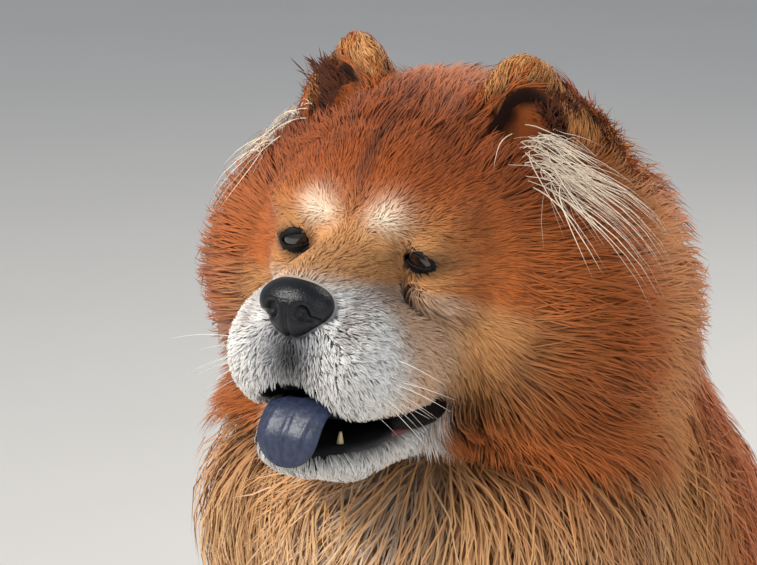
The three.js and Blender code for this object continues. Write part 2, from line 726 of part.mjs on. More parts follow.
const overlapping = (a, b) => {
  const [p, q] = [a.boundingBox(), b.boundingBox()];
  const apart = [0, 1, 2].some((i) => p.max[i] < q.min[i] || q.max[i] < p.min[i]);
  return !apart && a.intersect(b).volume() > 0;
};

// Adds locks to one node, spaced evenly over its long coat. A lock that would touch another node or another
// node's lock is tried shorter and flatter, and is otherwise left out.
const LOCK_TRIES = [[1, 1], [1, 0.6], [0.8, 0.5], [0.6, 0.4]];

function addLocks(name, { forms = body, lie = bodyLie, spacing, most, scale = 1, low = 20 }) {
  const sample = surfaceSampler(nodes[name]);
  const core = fieldOf(forms, CORE_REACH);
  const tips = fieldOf(forms, 1);
  const others = Object.entries({ ...nodes }).filter(([other]) => other !== name);
  const inTheWay = others.flatMap(([other, solid]) => [solid, ...(locks[other] ?? [])]);
  const roots = [];
  locks[name] = [];
  for (let tries = 0; tries < 5000 && locks[name].length < most; tries++) {
    const root = sample();
    const onCoat = Math.abs(core(root)) < 4 && tips(root) < -10;
    if (!onCoat || root.z < low || roots.some((other) => other.distanceTo(root) < spacing)) continue;
    for (const [shorter, flatter] of LOCK_TRIES) {
      const length = between(...LOCK_LENGTH) * scale * shorter;
      const width = LOCK_HALF_WIDTH * between(0.8, 1.15) * scale * Math.sqrt(shorter);
      const thickness = LOCK_HALF_THICKNESS * scale * flatter;
      const tipReach = between(0.93, 1.03) * shorter ** 0.4;
      const lock = lockSolid(forms, lie, root, length, width, thickness, tipReach);
      const clear = grown(lock);
      if (lock.boundingBox().min[2] < 3 || inTheWay.some((solid) => overlapping(clear, solid))) continue;
      roots.push(root);
      locks[name].push(lock);
      break;
    }
  }
}

const tail = tailSolid();
const tongue = tongueSolid();
const nose = noseSolid();
const eyes = SIDES.map(eyeSolid);
const ears = SIDES.map(earSolid);
const lowerJaw = jawSolid(tongue);
const head = headSolid([lowerJaw, nose, tongue, ...eyes, ...ears]);
const neckWithMane = neckSolid([lowerJaw, tongue, ...ears]);

const nodes = {
  head,
  lower_jaw: lowerJaw,
  nose,
  tongue,
  eye_left: eyes[0],
  eye_right: eyes[1],
  ear_left: ears[0],
  ear_right: ears[1],
  neck: neckWithMane,
  torso: torsoSolid(tail),
  tail,
};
for (const [side, s] of [["left", 1], ["right", -1]]) {
  nodes[`foreleg_${side}`] = forelegSolid(s);
  nodes[`forepaw_${side}`] = forepawSolid(s);
  nodes[`hindleg_${side}`] = hindlegSolid(s, tail);
  nodes[`hindpaw_${side}`] = hindpawSolid(s);
}

const locks = {};
addLocks("head", { spacing: 33, most: 20, scale: 0.85 });
addLocks("neck", { spacing: 50, most: 34 });
addLocks("tail", { forms: tailForms, lie: tailLie, spacing: 48, most: 12 });
addLocks("torso", { spacing: 62, most: 24, scale: 1.2 });
for (const side of ["left", "right"]) {
  addLocks(`hindleg_${side}`, { spacing: 56, most: 6, low: 60 });
  addLocks(`foreleg_${side}`, { spacing: 44, most: 4, scale: 0.7, low: 60 });
}
for (const [name, added] of Object.entries(locks)) {
  nodes[name] = largest(wasm.Manifold.union([nodes[name], ...added]));
}

// Finishes
const RED_COAT = { color: 0xa5541f, roughness: 0.9, metalness: 0 };
const CREAM_COAT = { color: 0xc9a066, roughness: 0.9, metalness: 0 };
const GREY_LIP = { color: 0xb9b7ae, roughness: 0.85, metalness: 0 };
const NOSE_LEATHER = { color: 0x14161c, roughness: 0.45, metalness: 0 };
const BLUE_TONGUE = { color: 0x2a3350, roughness: 0.5, metalness: 0 };
const EYE_BROWN = { color: 0x120a06, roughness: 0.08, metalness: 0 };
const finishes = {
  lower_jaw: GREY_LIP,
  nose: NOSE_LEATHER,
  tongue: BLUE_TONGUE,
  eye_left: EYE_BROWN,
  eye_right: EYE_BROWN,
  tail: CREAM_COAT,
};

// Corners of a solid that only touch are drawn a little apart, each towards its own neighbours.
function drawApart({ vertProperties, triVerts }) {
  const corner = (v) => new THREE.Vector3().fromArray(vertProperties, v * 3);
  const same = new Map();
  for (let v = 0; v < vertProperties.length / 3; v++) {
    const place = corner(v).toArray().map((c) => c.toFixed(2)).join();
    same.set(place, [...(same.get(place) ?? []), v]);
  }
  for (const touching of same.values()) {
    if (touching.length < 2) continue;
    for (const v of touching) {
      const middle = new THREE.Vector3();
      let count = 0;
      for (let t = 0; t < triVerts.length; t += 3) {
        const face = [...triVerts.slice(t, t + 3)];
        if (!face.includes(v)) continue;
        face.forEach((other) => middle.add(corner(other)));
        count += 3;
      }
      const way = middle.divideScalar(count).sub(corner(v)).clampLength(0, 0.1);
      corner(v).add(way).toArray(vertProperties, v * 3);
    }
  }
}

function meshOf(name, solid) {
  const made = solid.getMesh();
  drawApart(made);
  const geometry = new THREE.BufferGeometry();
  geometry.setAttribute("position", new THREE.BufferAttribute(made.vertProperties, 3));
  geometry.setIndex(new THREE.BufferAttribute(made.triVerts, 1));
  const mesh = new THREE.Mesh(geometry, new THREE.MeshStandardMaterial(finishes[name] ?? RED_COAT));
  mesh.name = name;
  return mesh;
}

const dog = new THREE.Group();
Object.entries(nodes).forEach(([name, solid]) => dog.add(meshOf(name, solid)));

// The origin goes to the middle of the dog's footprint, on the floor.
const extent = new THREE.Box3().setFromObject(dog, true);
const middle = extent.getCenter(new THREE.Vector3());
dog.position.set(-middle.x, -middle.y, -extent.min.z);

export default dog;
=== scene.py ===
"""A life-size chow chow that sits, with its mouth a little open.

Forms are in millimetres in the dog's own axes: +Z up, it faces -Y, and its left side is +X.
Meshes are moved to the frame, in metres, when they are made.
"""
import math

import bpy
import numpy as np
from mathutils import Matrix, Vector


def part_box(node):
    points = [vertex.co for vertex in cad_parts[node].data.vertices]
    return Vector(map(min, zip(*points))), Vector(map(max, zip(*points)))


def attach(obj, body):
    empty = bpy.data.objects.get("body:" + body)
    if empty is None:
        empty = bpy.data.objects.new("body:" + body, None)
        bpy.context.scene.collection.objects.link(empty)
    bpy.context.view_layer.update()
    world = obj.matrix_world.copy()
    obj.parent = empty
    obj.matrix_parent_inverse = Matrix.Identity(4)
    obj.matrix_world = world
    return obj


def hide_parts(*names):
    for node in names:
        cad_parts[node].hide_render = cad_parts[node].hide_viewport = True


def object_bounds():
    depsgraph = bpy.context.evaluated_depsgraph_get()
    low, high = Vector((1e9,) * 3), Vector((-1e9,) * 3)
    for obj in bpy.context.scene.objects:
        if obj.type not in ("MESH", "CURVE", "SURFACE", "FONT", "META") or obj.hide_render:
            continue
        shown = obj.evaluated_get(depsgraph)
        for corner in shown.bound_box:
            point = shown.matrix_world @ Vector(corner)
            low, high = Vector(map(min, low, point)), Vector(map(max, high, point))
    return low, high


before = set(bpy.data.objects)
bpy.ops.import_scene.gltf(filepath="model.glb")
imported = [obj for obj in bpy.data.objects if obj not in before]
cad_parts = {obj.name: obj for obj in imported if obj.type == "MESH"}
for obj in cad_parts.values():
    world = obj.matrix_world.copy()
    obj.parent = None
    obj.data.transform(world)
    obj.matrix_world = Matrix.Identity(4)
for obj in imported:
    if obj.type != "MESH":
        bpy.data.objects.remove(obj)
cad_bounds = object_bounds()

rng = np.random.default_rng(11)
MM = 0.001
EYE_MID = np.array([0.0, -250.0, 620.0])
HEAD_ROLL_DEGREES = 2.5
EYE_SPACING = 84
EYE_DEPTH = 11
EYE_RADIUS = 12.5
SHORT_COAT = 12
UNDERCOAT = 0.4  # share of a long coat's depth that the skin stands for
DETAIL = 1.0


# Forms

def turn_matrix(degrees):
    x, y, z = np.radians(degrees)
    about_x = np.array([[1, 0, 0], [0, math.cos(x), -math.sin(x)], [0, math.sin(x), math.cos(x)]])
    about_y = np.array([[math.cos(y), 0, math.sin(y)], [0, 1, 0], [-math.sin(y), 0, math.cos(y)]])
    about_z = np.array([[math.cos(z), -math.sin(z), 0], [math.sin(z), math.cos(z), 0], [0, 0, 1]])
    return about_x @ about_y @ about_z


HEAD_TURN = turn_matrix([0, HEAD_ROLL_DEGREES, 0])


def head_point(*p):
    return HEAD_TURN @ np.array(p, float) + EYE_MID


def to_head(p):
    """Points in the head's own frame, whose origin is midway between the eyes."""
    return (p - EYE_MID) @ HEAD_TURN


def from_head(points):
    return points @ HEAD_TURN.T + EYE_MID


def ellipsoid(at, radii, coat=0, blend=1, drift=(0, 0, 0), turn=(0, 0, 0)):
    coat = np.broadcast_to(np.array(coat, float), 3)
    return {
        "at": np.array(at, float),
        "radii": np.array(radii, float),
        "coat": coat,
        "blend": blend,
        "drift": np.array(drift, float),
        "turn": turn_matrix(turn),
        "long": coat.max() > SHORT_COAT,
    }


def limb(start, end, radii, coat=0, blend=1):
    return {
        "start": np.array(start, float),
        "end": np.array(end, float),
        "radii": radii,
        "coat": float(coat),
        "blend": blend,
        "long": coat > SHORT_COAT,
    }


def on_head(form):
    for key in ("at", "start", "end"):
        if key in form:
            form[key] = head_point(*form[key])
    if "drift" in form:
        form["drift"] = HEAD_TURN @ form["drift"]
        form["turn"] = HEAD_TURN @ form["turn"]
    return form


def both(make):
    return [form for s in (1, -1) for form in make(s)]


skull = [
    ellipsoid([0, 80, 8], [68, 82, 62], [16, 8, 20], 20, [0, 12, 0]),
    ellipsoid([0, 34, 18], [50, 38, 38], [8, 6, 12], 18, [0, 8, 0]),
    limb([0, 10, -12], [0, -50, -22], [25, 23], 3, 12),
    ellipsoid([0, -26, -46], [44, 44, 39], 4, 12),
] + both(
    lambda s: [
        ellipsoid([s * 24, 11, 21], [19, 15, 15], 6, 10),
        ellipsoid([s * 46, 22, 18], [19, 19, 14], 5, 10),
        ellipsoid([s * 44, 20, -18], [20, 19, 17], 4, 10),
        ellipsoid([s * EYE_SPACING / 2, EYE_DEPTH, 0], [14.0, 14.0, 14.0], 1.2, 6),
        ellipsoid([s * 25, -38, -54], [26, 34, 33], 5, 10),
        ellipsoid([s * 36, -6, -62], [20, 34, 26], 6, 12),
        ellipsoid([s * 52, 68, -38], [38, 46, 52], [54, 22, 42], 20, [s * 12, 28, -4]),
        ellipsoid([s * 48, 66, 8], [30, 46, 36], [26, 12, 24], 18, [s * 4, 24, 2]),
    ]
)
skull = [on_head(form) for form in skull]

ears = [
    on_head(form)
    for form in both(
        lambda s: [
            ellipsoid([s * 54, 98, 64], [23, 12, 38], 6, 10, turn=[10, 0, s * 24]),
            ellipsoid([s * 70, 102, 46], [28, 12, 34], 6, 10, turn=[10, 0, s * 24]),
        ]
    )
]
cups = [on_head(ellipsoid([s * 64, 84, 57], [22, 17, 33], turn=[10, 0, s * 24])) for s in (1, -1)]

jaw = [
    on_head(form)
    for form in [
        ellipsoid([0, -32, -102], [36, 36, 15], [5, 4, 7], 8),
        ellipsoid([0, -38, -112], [30, 30, 11], [4, 4, 4], 6),
    ]
    + both(lambda s: [limb([s * 18, -30, -106], [s * 30, 48, -94], [15, 22], 8, 12)])
]

neck = [
    ellipsoid([0, -122, 568], [82, 52, 72], [66, 46, 60], 26, [0, 12, 0]),
    limb([0, -112, 560], [0, -85, 440], [72, 96], 56, 26),
    ellipsoid([0, -158, 440], [92, 62, 78], [66, 50, 58], 26),
]
trunk = [
    limb([0, -95, 400], [0, 118, 168], [106, 116], 44, 26),
    ellipsoid([0, 145, 110], [112, 92, 108], 44, 26),
] + both(
    lambda s: [
        ellipsoid([s * 66, -98, 375], [42, 62, 95], 40, 26),
        ellipsoid([s * 56, -34, 392], [52, 76, 74], 48, 26),
    ]
)
TOES = (-24, -8.5, 8.5, 24)
PAWS = ((71, -196), (104, -60))  # fore and hind: out from the middle, and the longest toes' tips
(FORE_X, FORE_Y), (HIND_X, HIND_Y) = PAWS


def toes(middle, front):
    return [
        ellipsoid([middle + dx, front + (25 if abs(dx) > 12 else 16), 18], [9, 17, 16], 3, 4)
        for dx in TOES
    ]


forelegs = both(
    lambda s: [
        limb([s * FORE_X, -118, 310], [s * FORE_X, -126, 62], [38, 27], 18, 22),
        limb([s * FORE_X, -98, 300], [s * FORE_X, -106, 110], [26, 15], 26, 18),
        ellipsoid([s * FORE_X, -148, 24], [35, 46, 28], 5, 14),
    ]
    + toes(s * FORE_X, FORE_Y)
)
hindlegs = both(
    lambda s: [
        ellipsoid([s * 88, 82, 116], [50, 102, 84], 34, 24, turn=[-12, 0, 0]),
        limb([s * HIND_X, 118, 30], [s * HIND_X, 4, 28], [27, 25], 12, 18),
        ellipsoid([s * HIND_X, -14, 24], [33, 44, 27], 5, 14),
    ]
    + toes(s * HIND_X, HIND_Y)
)
body = skull + ears + neck + trunk + forelegs + hindlegs

TAIL_BONE = np.array([[0, 222, 92], [0, 274, 142], [5, 282, 212], [12, 246, 274], [18, 190, 322]], float)
TAIL_RADII = [24, 20, 17, 14, 10]
tail = [
    limb(TAIL_BONE[i], TAIL_BONE[i + 1], TAIL_RADII[i : i + 2], 56, 20) for i in range(len(TAIL_BONE) - 1)
]


# Fields. A level is (share of a long coat, share of a short coat) that a surface goes out through.

SKIN = (UNDERCOAT, 0.0)
TIPS = (1.0, 1.0)
MARGIN = 45  # how far past its own size a form is still measured


def measure_form(form, p, level):
    reach = level[0] if form["long"] else level[1]
    if "at" in form:
        q = (p - form["at"] - form["drift"] * reach) @ form["turn"]
        radii = form["radii"] + form["coat"] * reach
        near = np.linalg.norm(q / radii, axis=1)
        slope = q / radii**2
        steep = np.maximum(np.linalg.norm(slope, axis=1), 1e-9)
        return near * (near - 1) / steep, (slope / steep[:, None]) @ form["turn"].T
    along = form["end"] - form["start"]
    share = np.clip((p - form["start"]) @ along / (along @ along), 0, 1)
    off = p - form["start"] - share[:, None] * along
    length = np.maximum(np.linalg.norm(off, axis=1), 1e-9)
    radius = form["radii"][0] + (form["radii"][1] - form["radii"][0]) * share + form["coat"] * reach
    return length - radius, off / length[:, None]


def measure(forms, p, level):
    """Distance to the forms' joined surface, and its direction outwards."""
    depth = np.full(len(p), 1e4)
    out = np.zeros_like(p)
    for form in forms:
        if "at" in form:
            size = (form["radii"] + form["coat"]).max() + np.abs(form["drift"]).max()
            centre = form["at"]
        else:
            size = max(form["radii"]) + form["coat"] + np.linalg.norm(form["end"] - form["start"]) / 2
            centre = (form["start"] + form["end"]) / 2
        close = np.abs(p - centre).max(axis=1) < size + MARGIN
        if not close.any():
            continue
        d, n = measure_form(form, p[close], level)
        old, old_out = depth[close], out[close]
        mix = np.clip(form["blend"] - np.abs(d - old), 0, None) / form["blend"]
        nearer = d < old
        depth[close] = np.minimum(d, old) - mix**2 * form["blend"] / 4
        low = np.where(nearer[:, None], n, old_out)
        high = np.where(nearer[:, None], old_out, n)
        out[close] = low + mix[:, None] / 2 * (high - low)
    return depth, out / np.maximum(np.linalg.norm(out, axis=1), 1e-9)[:, None]


def smooth_max(a, b, blend):
    mix = np.clip(blend - np.abs(a - b), 0, None) / blend
    return np.maximum(a, b) + mix**2 * blend / 4


roof = on_head(ellipsoid([0, -46, -92], [28, 62, 29]))
notch = on_head(ellipsoid([-1, -70, -82], [11, 22, 17]))
bed = on_head(ellipsoid([0, -30, -90], [25, 60, 15]))
slit = on_head(ellipsoid([0, -14, -91], [72, 56, 6], turn=[7, 0, 0]))


def cup_distances(p):
    return np.array([measure_form(cup, p, TIPS)[0] for cup in cups])


def mouth_distance(p, hollow=roof):
    a = measure_form(hollow, p, TIPS)[0]
    b = measure_form(slit, p, TIPS)[0]
    mix = np.clip(6 - np.abs(a - b), 0, None) / 6
    return np.minimum(np.minimum(a, b) - mix**2 * 1.5, measure_form(notch, p, TIPS)[0])


def eye_opening(s, half_width, half_height):
    at = [s * EYE_SPACING / 2, EYE_DEPTH - 20, -1]
    return on_head(ellipsoid(at, [half_width, 26, half_height], turn=[0, s * 14, s * 20]))


sockets = [eye_opening(s, 11, 4.8) for s in (1, -1)]
eye_centres = [head_point(s * EYE_SPACING / 2, EYE_DEPTH, 0) for s in (1, -1)]


def from_tear_line(side, z):
    """How far out a point is from the line that runs down the muzzle from the eye's inner corner."""
    return side - (30 + 0.16 * (-6 - z))


def folds(p):
    """How far the face's skin sinks: brow furrow, tear line, edge of the pads and under the muzzle's hair."""
    h = to_head(p)
    side = np.abs(h[:, 0])
    furrow = 3.2 * np.exp(-((side / 4) ** 2)) * bump_between(h[:, 2], 26, 80)
    line = from_tear_line(side, h[:, 2])
    tear = 1.2 * np.exp(-((line / 2.6) ** 2)) * bump_between(h[:, 2], -42, -4) * (h[:, 1] < 30)
    lip = side - (20 + 0.5 * (-20 - h[:, 2]))
    pad = 1.4 * np.exp(-((lip / 3) ** 2)) * bump_between(h[:, 2], -60, -26) * (h[:, 1] < -40)
    return furrow + tear + pad + 2 * (1 - ramp(h[:, 1], 5, 30)) * (1 - ramp(h[:, 2], -26, -8))


def ramp(value, low, high):
    share = np.clip((value - low) / (high - low), 0, 1)
    return share * share * (3 - 2 * share)


def bump_between(value, low, high):
    edge = (high - low) * 0.3
    return ramp(value, low, low + edge) * (1 - ramp(value, high - edge, high))


def head_distance(p):
    d = measure(body, p, SKIN)[0] + folds(p)
    for cup_depth in -cup_distances(p):
        d = smooth_max(d, cup_depth, 3)
    d = smooth_max(d, -mouth_distance(p), 3)
    for socket in sockets:
        d = smooth_max(d, -measure_form(socket, p, TIPS)[0], 2)
    return d


HEAD_LOW = EYE_MID + [-118, -90, -118]
HEAD_HIGH = EYE_MID + [118, 138, 116]


def body_distance(p):
    """The body's skin. Where the head's finer skin covers it, it stays a little inside."""
    inset = np.minimum(p - HEAD_LOW, HEAD_HIGH - p).min(axis=1)
    return measure(body, p, SKIN)[0] + 6 * ramp(inset, 4, 22)


def jaw_distance(p):
    d = smooth_max(measure(jaw, p, SKIN)[0], -mouth_distance(p, bed), 3)
    return np.maximum(d, to_head(p)[:, 1] - 56)


# Surface nets: the closed surface where a distance is zero, on a regular grid

CORNERS = [(a, b, c) for a in (0, 1) for b in (0, 1) for c in (0, 1)]
EDGES = [
    (m, n)
    for m in range(8)
    for n in range(m + 1, 8)
    if sum(abs(i - j) for i, j in zip(CORNERS[m], CORNERS[n])) == 1
]


def net(distance, low, high, step):
    low = np.array(low, float)
    axes = [np.arange(a, b + step, step) for a, b in zip(low, high)]
    shape = tuple(len(axis) for axis in axes)
    grid = np.stack(np.meshgrid(*axes, indexing="ij"), -1).reshape(-1, 3)
    values = np.concatenate([distance(part) for part in np.array_split(grid, 8)]).reshape(shape)
    for axis in range(3):
        for edge in (0, -1):
            side = [slice(None)] * 3
            side[axis] = edge
            values[tuple(side)] = np.maximum(values[tuple(side)], 1)
    cell = tuple(n - 1 for n in shape)
    at_corner = [values[a : a + cell[0], b : b + cell[1], c : c + cell[2]] for a, b, c in CORNERS]
    total = np.zeros(cell + (3,))
    count = np.zeros(cell)
    for m, n in EDGES:
        crossed = (at_corner[m] < 0) != (at_corner[n] < 0)
        gap = at_corner[m] - at_corner[n]
        share = np.where(crossed, at_corner[m] / np.where(gap == 0, 1, gap), 0)
        point = np.array(CORNERS[m]) + share[..., None] * (np.array(CORNERS[n]) - np.array(CORNERS[m]))
        total += point * crossed[..., None]
        count += crossed
    used = count > 0
    index = np.full(cell, -1)
    index[used] = np.arange(used.sum())
    points = low + step * (np.argwhere(used) + total[used] / count[used][:, None])
    inside = values < 0
    quads = []
    for axis in range(3):
        a, b = [(1, 2), (2, 0), (0, 1)][axis]
        here = np.take(inside, range(shape[axis] - 1), axis)
        there = np.take(inside, range(1, shape[axis]), axis)
        crossing = np.argwhere(here != there)
        crossing = crossing[(crossing[:, a] > 0) & (crossing[:, b] > 0)]
        crossing = crossing[(crossing[:, a] < cell[a]) & (crossing[:, b] < cell[b])]
        ring = []
        for da, db in ((0, 0), (1, 0), (1, 1), (0, 1)):
            moved = crossing.copy()
            moved[:, a] -= da
            moved[:, b] -= db
            ring.append(index[tuple(moved.T)])
        faces = np.stack(ring, 1)
        outward = inside[tuple(crossing.T)]
        faces[~outward] = faces[~outward][:, ::-1]
        quads.append(faces)
    return points, np.concatenate(quads)


# Meshes

eye_corners = [np.array(corner) for name in ("eye_left", "eye_right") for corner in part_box(name)]
eyes_in_frame = np.mean(eye_corners, axis=0)
SHIFT = eyes_in_frame - head_point(0, EYE_DEPTH, 0) * MM


def to_frame(points):
    return np.asarray(points) * MM + SHIFT


def mesh_object(name, points, faces, material):
    """A mesh from points in millimetres and faces that all have the same number of corners."""
    faces = np.asarray(faces)
    mesh = bpy.data.meshes.new(name)
    mesh.vertices.add(len(points))
    mesh.vertices.foreach_set("co", to_frame(points).astype(np.float32).ravel())
    sides = faces.shape[1]
    mesh.loops.add(faces.size)
    mesh.loops.foreach_set("vertex_index", faces.astype(np.int32).ravel())
    mesh.polygons.add(len(faces))
    mesh.polygons.foreach_set("loop_start", np.arange(0, faces.size, sides, dtype=np.int32))
    mesh.polygons.foreach_set("use_smooth", np.full(len(faces), True))
    mesh.update(calc_edges=True)
    mesh.validate()
    piece = bpy.data.objects.new(name, mesh)
    bpy.context.scene.collection.objects.link(piece)
    piece.data.materials.append(material)
    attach(piece, "root")
    return piece


def paint(piece, colours):
    layer = piece.data.color_attributes.new("Markings_and_shade", "FLOAT_COLOR", "POINT")
    rgba = np.ones((len(colours), 4), np.float32)
    rgba[:, :3] = colours
    layer.data.foreach_set("color", rgba.ravel())


# Colours of the coat, as sRGB out of 255, turned to linear

def linear(red, green, blue):
    value = np.array([red, green, blue]) / 255
    return np.where(value <= 0.04045, value / 12.92, ((value + 0.055) / 1.055) ** 2.4)


MAHOGANY = linear(140, 66, 22)
ORANGE = linear(176, 94, 38)
GOLD = linear(200, 146, 88)
CREAM = linear(222, 190, 145)
PALE = linear(232, 214, 190)
TAN = linear(204, 152, 96)
WHITE = linear(238, 235, 230)
BLUE_GREY = linear(134, 138, 148)
DARK = linear(52, 32, 24)
DEEP_BROWN = linear(92, 46, 22)
BLACK = linear(20, 18, 20)


def spot(h, centre, size):
    return np.exp(-((((h - centre) / size) ** 2).sum(axis=1)))


def mix_in(colour, other, share):
    return colour + (other - colour) * np.clip(share, 0, 1)[:, None]


def soft_noise(p, size, seed):
    """A smooth random number from -1 to 1 for each point, that changes over about size millimetres."""
    waves = np.random.default_rng(seed).normal(size=(7, 3)) / size * 2.2
    phases = np.random.default_rng(seed + 1).uniform(0, 6.28, 7)
    return np.sin(p @ waves.T + phases).mean(axis=1) * 1.9


def markings_and_shade(p):
    """The coat's colour at points on the body, with painted shade in the brow furrow, along the tear lines,
    round the eyes and in the cleft below the nose.
    """
    h = to_head(p)
    x, y, z = h.T
    side = np.abs(x)
    folded = np.stack([side, y, z], 1)
    patchy = soft_noise(p, 42, 3)
    streaky = soft_noise(p, 15, 5)
    colour = np.broadcast_to(ORANGE, p.shape).copy()
    colour = mix_in(colour, MAHOGANY, ramp(z, 0, 60) * (1 - ramp(y, 92, 128)) * 0.85)
    rim = ramp(y + patchy * 8, 96, 132) * ramp(z, -215, -150) * (1 - ramp(y, 132, 190))
    colour = mix_in(colour, GOLD, rim * 0.6)
    colour = mix_in(colour, GOLD, (1 - ramp(z + patchy * 12, -172, -118)) * (1 - ramp(p[:, 1], -120, -30)))
    colour = mix_in(colour, CREAM, (1 - ramp(z, -225, -140)) * (1 - ramp(p[:, 1], -170, -110)) * 0.7)
    colour = mix_in(colour, DEEP_BROWN, spot(folded, [96, 54, -70], [15, 24, 36]) * 0.9)
    colour = mix_in(colour, DEEP_BROWN, spot(h, [103, 10, -134], [20, 30, 15]) * 0.7)
    colour = mix_in(colour, DEEP_BROWN, spot(folded, [64, 36, -104], [18, 22, 14]) * 0.6)
    # Painted shade: a dark line down the middle of the brow, along the furrow's crease.
    colour = mix_in(colour, DEEP_BROWN, np.exp(-((x / 5) ** 2)) * bump_between(z, 28, 96) * (y < 80) * 0.85)
    below = p[:, 2]
    colour = mix_in(colour, CREAM, ramp(p[:, 1] + patchy * 20, 130, 200) * (1 - ramp(below, 230, 330)) * 0.7)
    colour = mix_in(colour, GOLD, (1 - ramp(below + patchy * 14, 60, 210)) * 0.75)
    colour = mix_in(colour, CREAM, (1 - ramp(below, 22, 70)) * 0.45)
    wool = ramp(soft_noise(p, 26, 61), 0.05, 0.6) * (1 - ramp(z, -150, -110))
    colour = mix_in(colour, ORANGE, wool * 0.3 * ramp(below, 200, 320))
    face = (1 - ramp(y, 24, 52)) * (z > -150)
    muzzle = face * (1 - ramp(z + 0.25 * y + patchy * 2, -30, -14))
    colour = mix_in(colour, TAN, face * (1 - ramp(z, 6, 38)) * (1 - ramp(side, 44, 76)) * 0.8)
    colour = mix_in(colour, WHITE, muzzle * (1 - ramp(side, 58, 72)) * (1 - ramp(y, 10, 30)))
    colour = mix_in(colour, TAN, muzzle * ramp(side, 18, 42) * ramp(y, -46, -16) * ramp(z, -108, -74) * 0.75)
    colour = mix_in(colour, PALE, spot(folded, [22, -4, 22], [11, 16, 9]) * 1.2)
    colour = mix_in(colour, BLUE_GREY, spot(folded, [0, -72, -40], [26, 24, 18]) * 0.75)
    colour = mix_in(colour, BLUE_GREY, muzzle * (0.04 + 0.12 * streaky) * (1 - ramp(y, -20, 10)))
    colour = mix_in(colour, BLUE_GREY, spot(folded, [0, -76, -54], [22, 24, 22]) * 0.5)
    # Painted shade: black fur below the nose, where the cleft between the flews runs down to the mouth.
    colour = mix_in(colour, BLACK, spot(folded, [0, -80, -50], [13, 24, 22]) * 1.1)
    lip = 1 - ramp(mouth_distance(p, bed), 4, 11)
    colour = mix_in(colour, BLACK, lip * (1 - ramp(z, -96, -87)) * 0.92)
    # Painted shade: a dark stripe along the crease of the tear line, down from each eye's inner corner.
    tear = from_tear_line(side, z)
    colour = mix_in(colour, DEEP_BROWN, np.exp(-((tear / 3.4) ** 2)) * bump_between(z, -46, -2) * face * 0.7)
    # Painted shade: dark fur round each deep-set eye.
    colour = mix_in(colour, DARK, spot(folded, [42, 2, -1], [15, 14, 6.5]) * 1.3)
    ear = ramp(z, 62, 76) * ramp(y, 74, 84)
    colour = mix_in(colour, ORANGE, ear * 0.75)
    return np.clip(colour * (1 + 0.1 * patchy + 0.07 * streaky)[:, None], 0.002, 1)


def skin_colours(p):
    # Painted shade: the skin stands for the coat's depths and takes the coat's colour made darker.
    colour = markings_and_shade(p) * 0.62
    inner_ear = np.abs(cup_distances(p)).min(axis=0)
    colour = mix_in(colour, DARK, 1 - ramp(inner_ear, 1, 3.5))
    in_mouth = 1 - ramp(np.minimum(mouth_distance(p), mouth_distance(p, bed)), 1.2, 3.2)
    colour = mix_in(colour, BLACK, in_mouth)
    near_eye = np.minimum.reduce([np.linalg.norm(p - centre, axis=1) for centre in eye_centres])
    return mix_in(colour, BLACK, 1 - ramp(near_eye, 14.6, 16.5))


# Materials

RELIEF = 0.0006  # metres


def shader(name, roughness, **settings):
    material = bpy.data.materials.new(name)
    material.use_nodes = True
    principled = material.node_tree.nodes["Principled BSDF"]
    principled.inputs["Roughness"].default_value = roughness
    for key, value in settings.items():
        principled.inputs[key.replace("_", " ")].default_value = value
    return material, material.node_tree.nodes, material.node_tree.links, principled


def add_bump(nodes, links, principled, scale, strength):
    noise = nodes.new("ShaderNodeTexNoise")
    noise.inputs["Scale"].default_value = scale
    noise.inputs["Detail"].default_value = 4
    place = nodes.new("ShaderNodeTexCoord")
    links.new(place.outputs["Object"], noise.inputs["Vector"])
    bump = nodes.new("ShaderNodeBump")
    bump.inputs["Strength"].default_value = strength
    bump.inputs["Distance"].default_value = RELIEF
    links.new(noise.outputs["Fac"], bump.inputs["Height"])
    links.new(bump.outputs["Normal"], principled.inputs["Normal"])
    return noise


def marked_material(name, roughness, noise_scale, contrast, **settings):
    """Takes its colour, painted shade included, from the colour layer, with a fine uneven tone over it."""
    material, nodes, links, principled = shader(name, roughness, **settings)
    markings_and_shade_node = nodes.new("ShaderNodeVertexColor")
    markings_and_shade_node.layer_name = "Markings_and_shade"
    noise = add_bump(nodes, links, principled, noise_scale, 0.3)
    tone = nodes.new("ShaderNodeMapRange")
    tone.inputs["To Min"].default_value = 1 - contrast
    tone.inputs["To Max"].default_value = 1 + contrast
    links.new(noise.outputs["Fac"], tone.inputs["Value"])
    scaled = nodes.new("ShaderNodeVectorMath")
    scaled.operation = "SCALE"
    links.new(markings_and_shade_node.outputs["Color"], scaled.inputs[0])
    links.new(tone.outputs["Result"], scaled.inputs["Scale"])
    links.new(scaled.outputs["Vector"], principled.inputs["Base Color"])
    return material


def plain_material(name, colour, other, roughness, scale, strength, **settings):
    """Two close colours in soft patches, with a fine relief."""
    material, nodes, links, principled = shader(name, roughness, **settings)
    noise = add_bump(nodes, links, principled, scale, strength)
    mix = nodes.new("ShaderNodeMix")
    mix.data_type = "RGBA"
    mix.inputs["A"].default_value = (*colour, 1)
    mix.inputs["B"].default_value = (*other, 1)
    links.new(noise.outputs["Fac"], mix.inputs["Factor"])
    links.new(mix.outputs["Result"], principled.inputs["Base Color"])
    return material


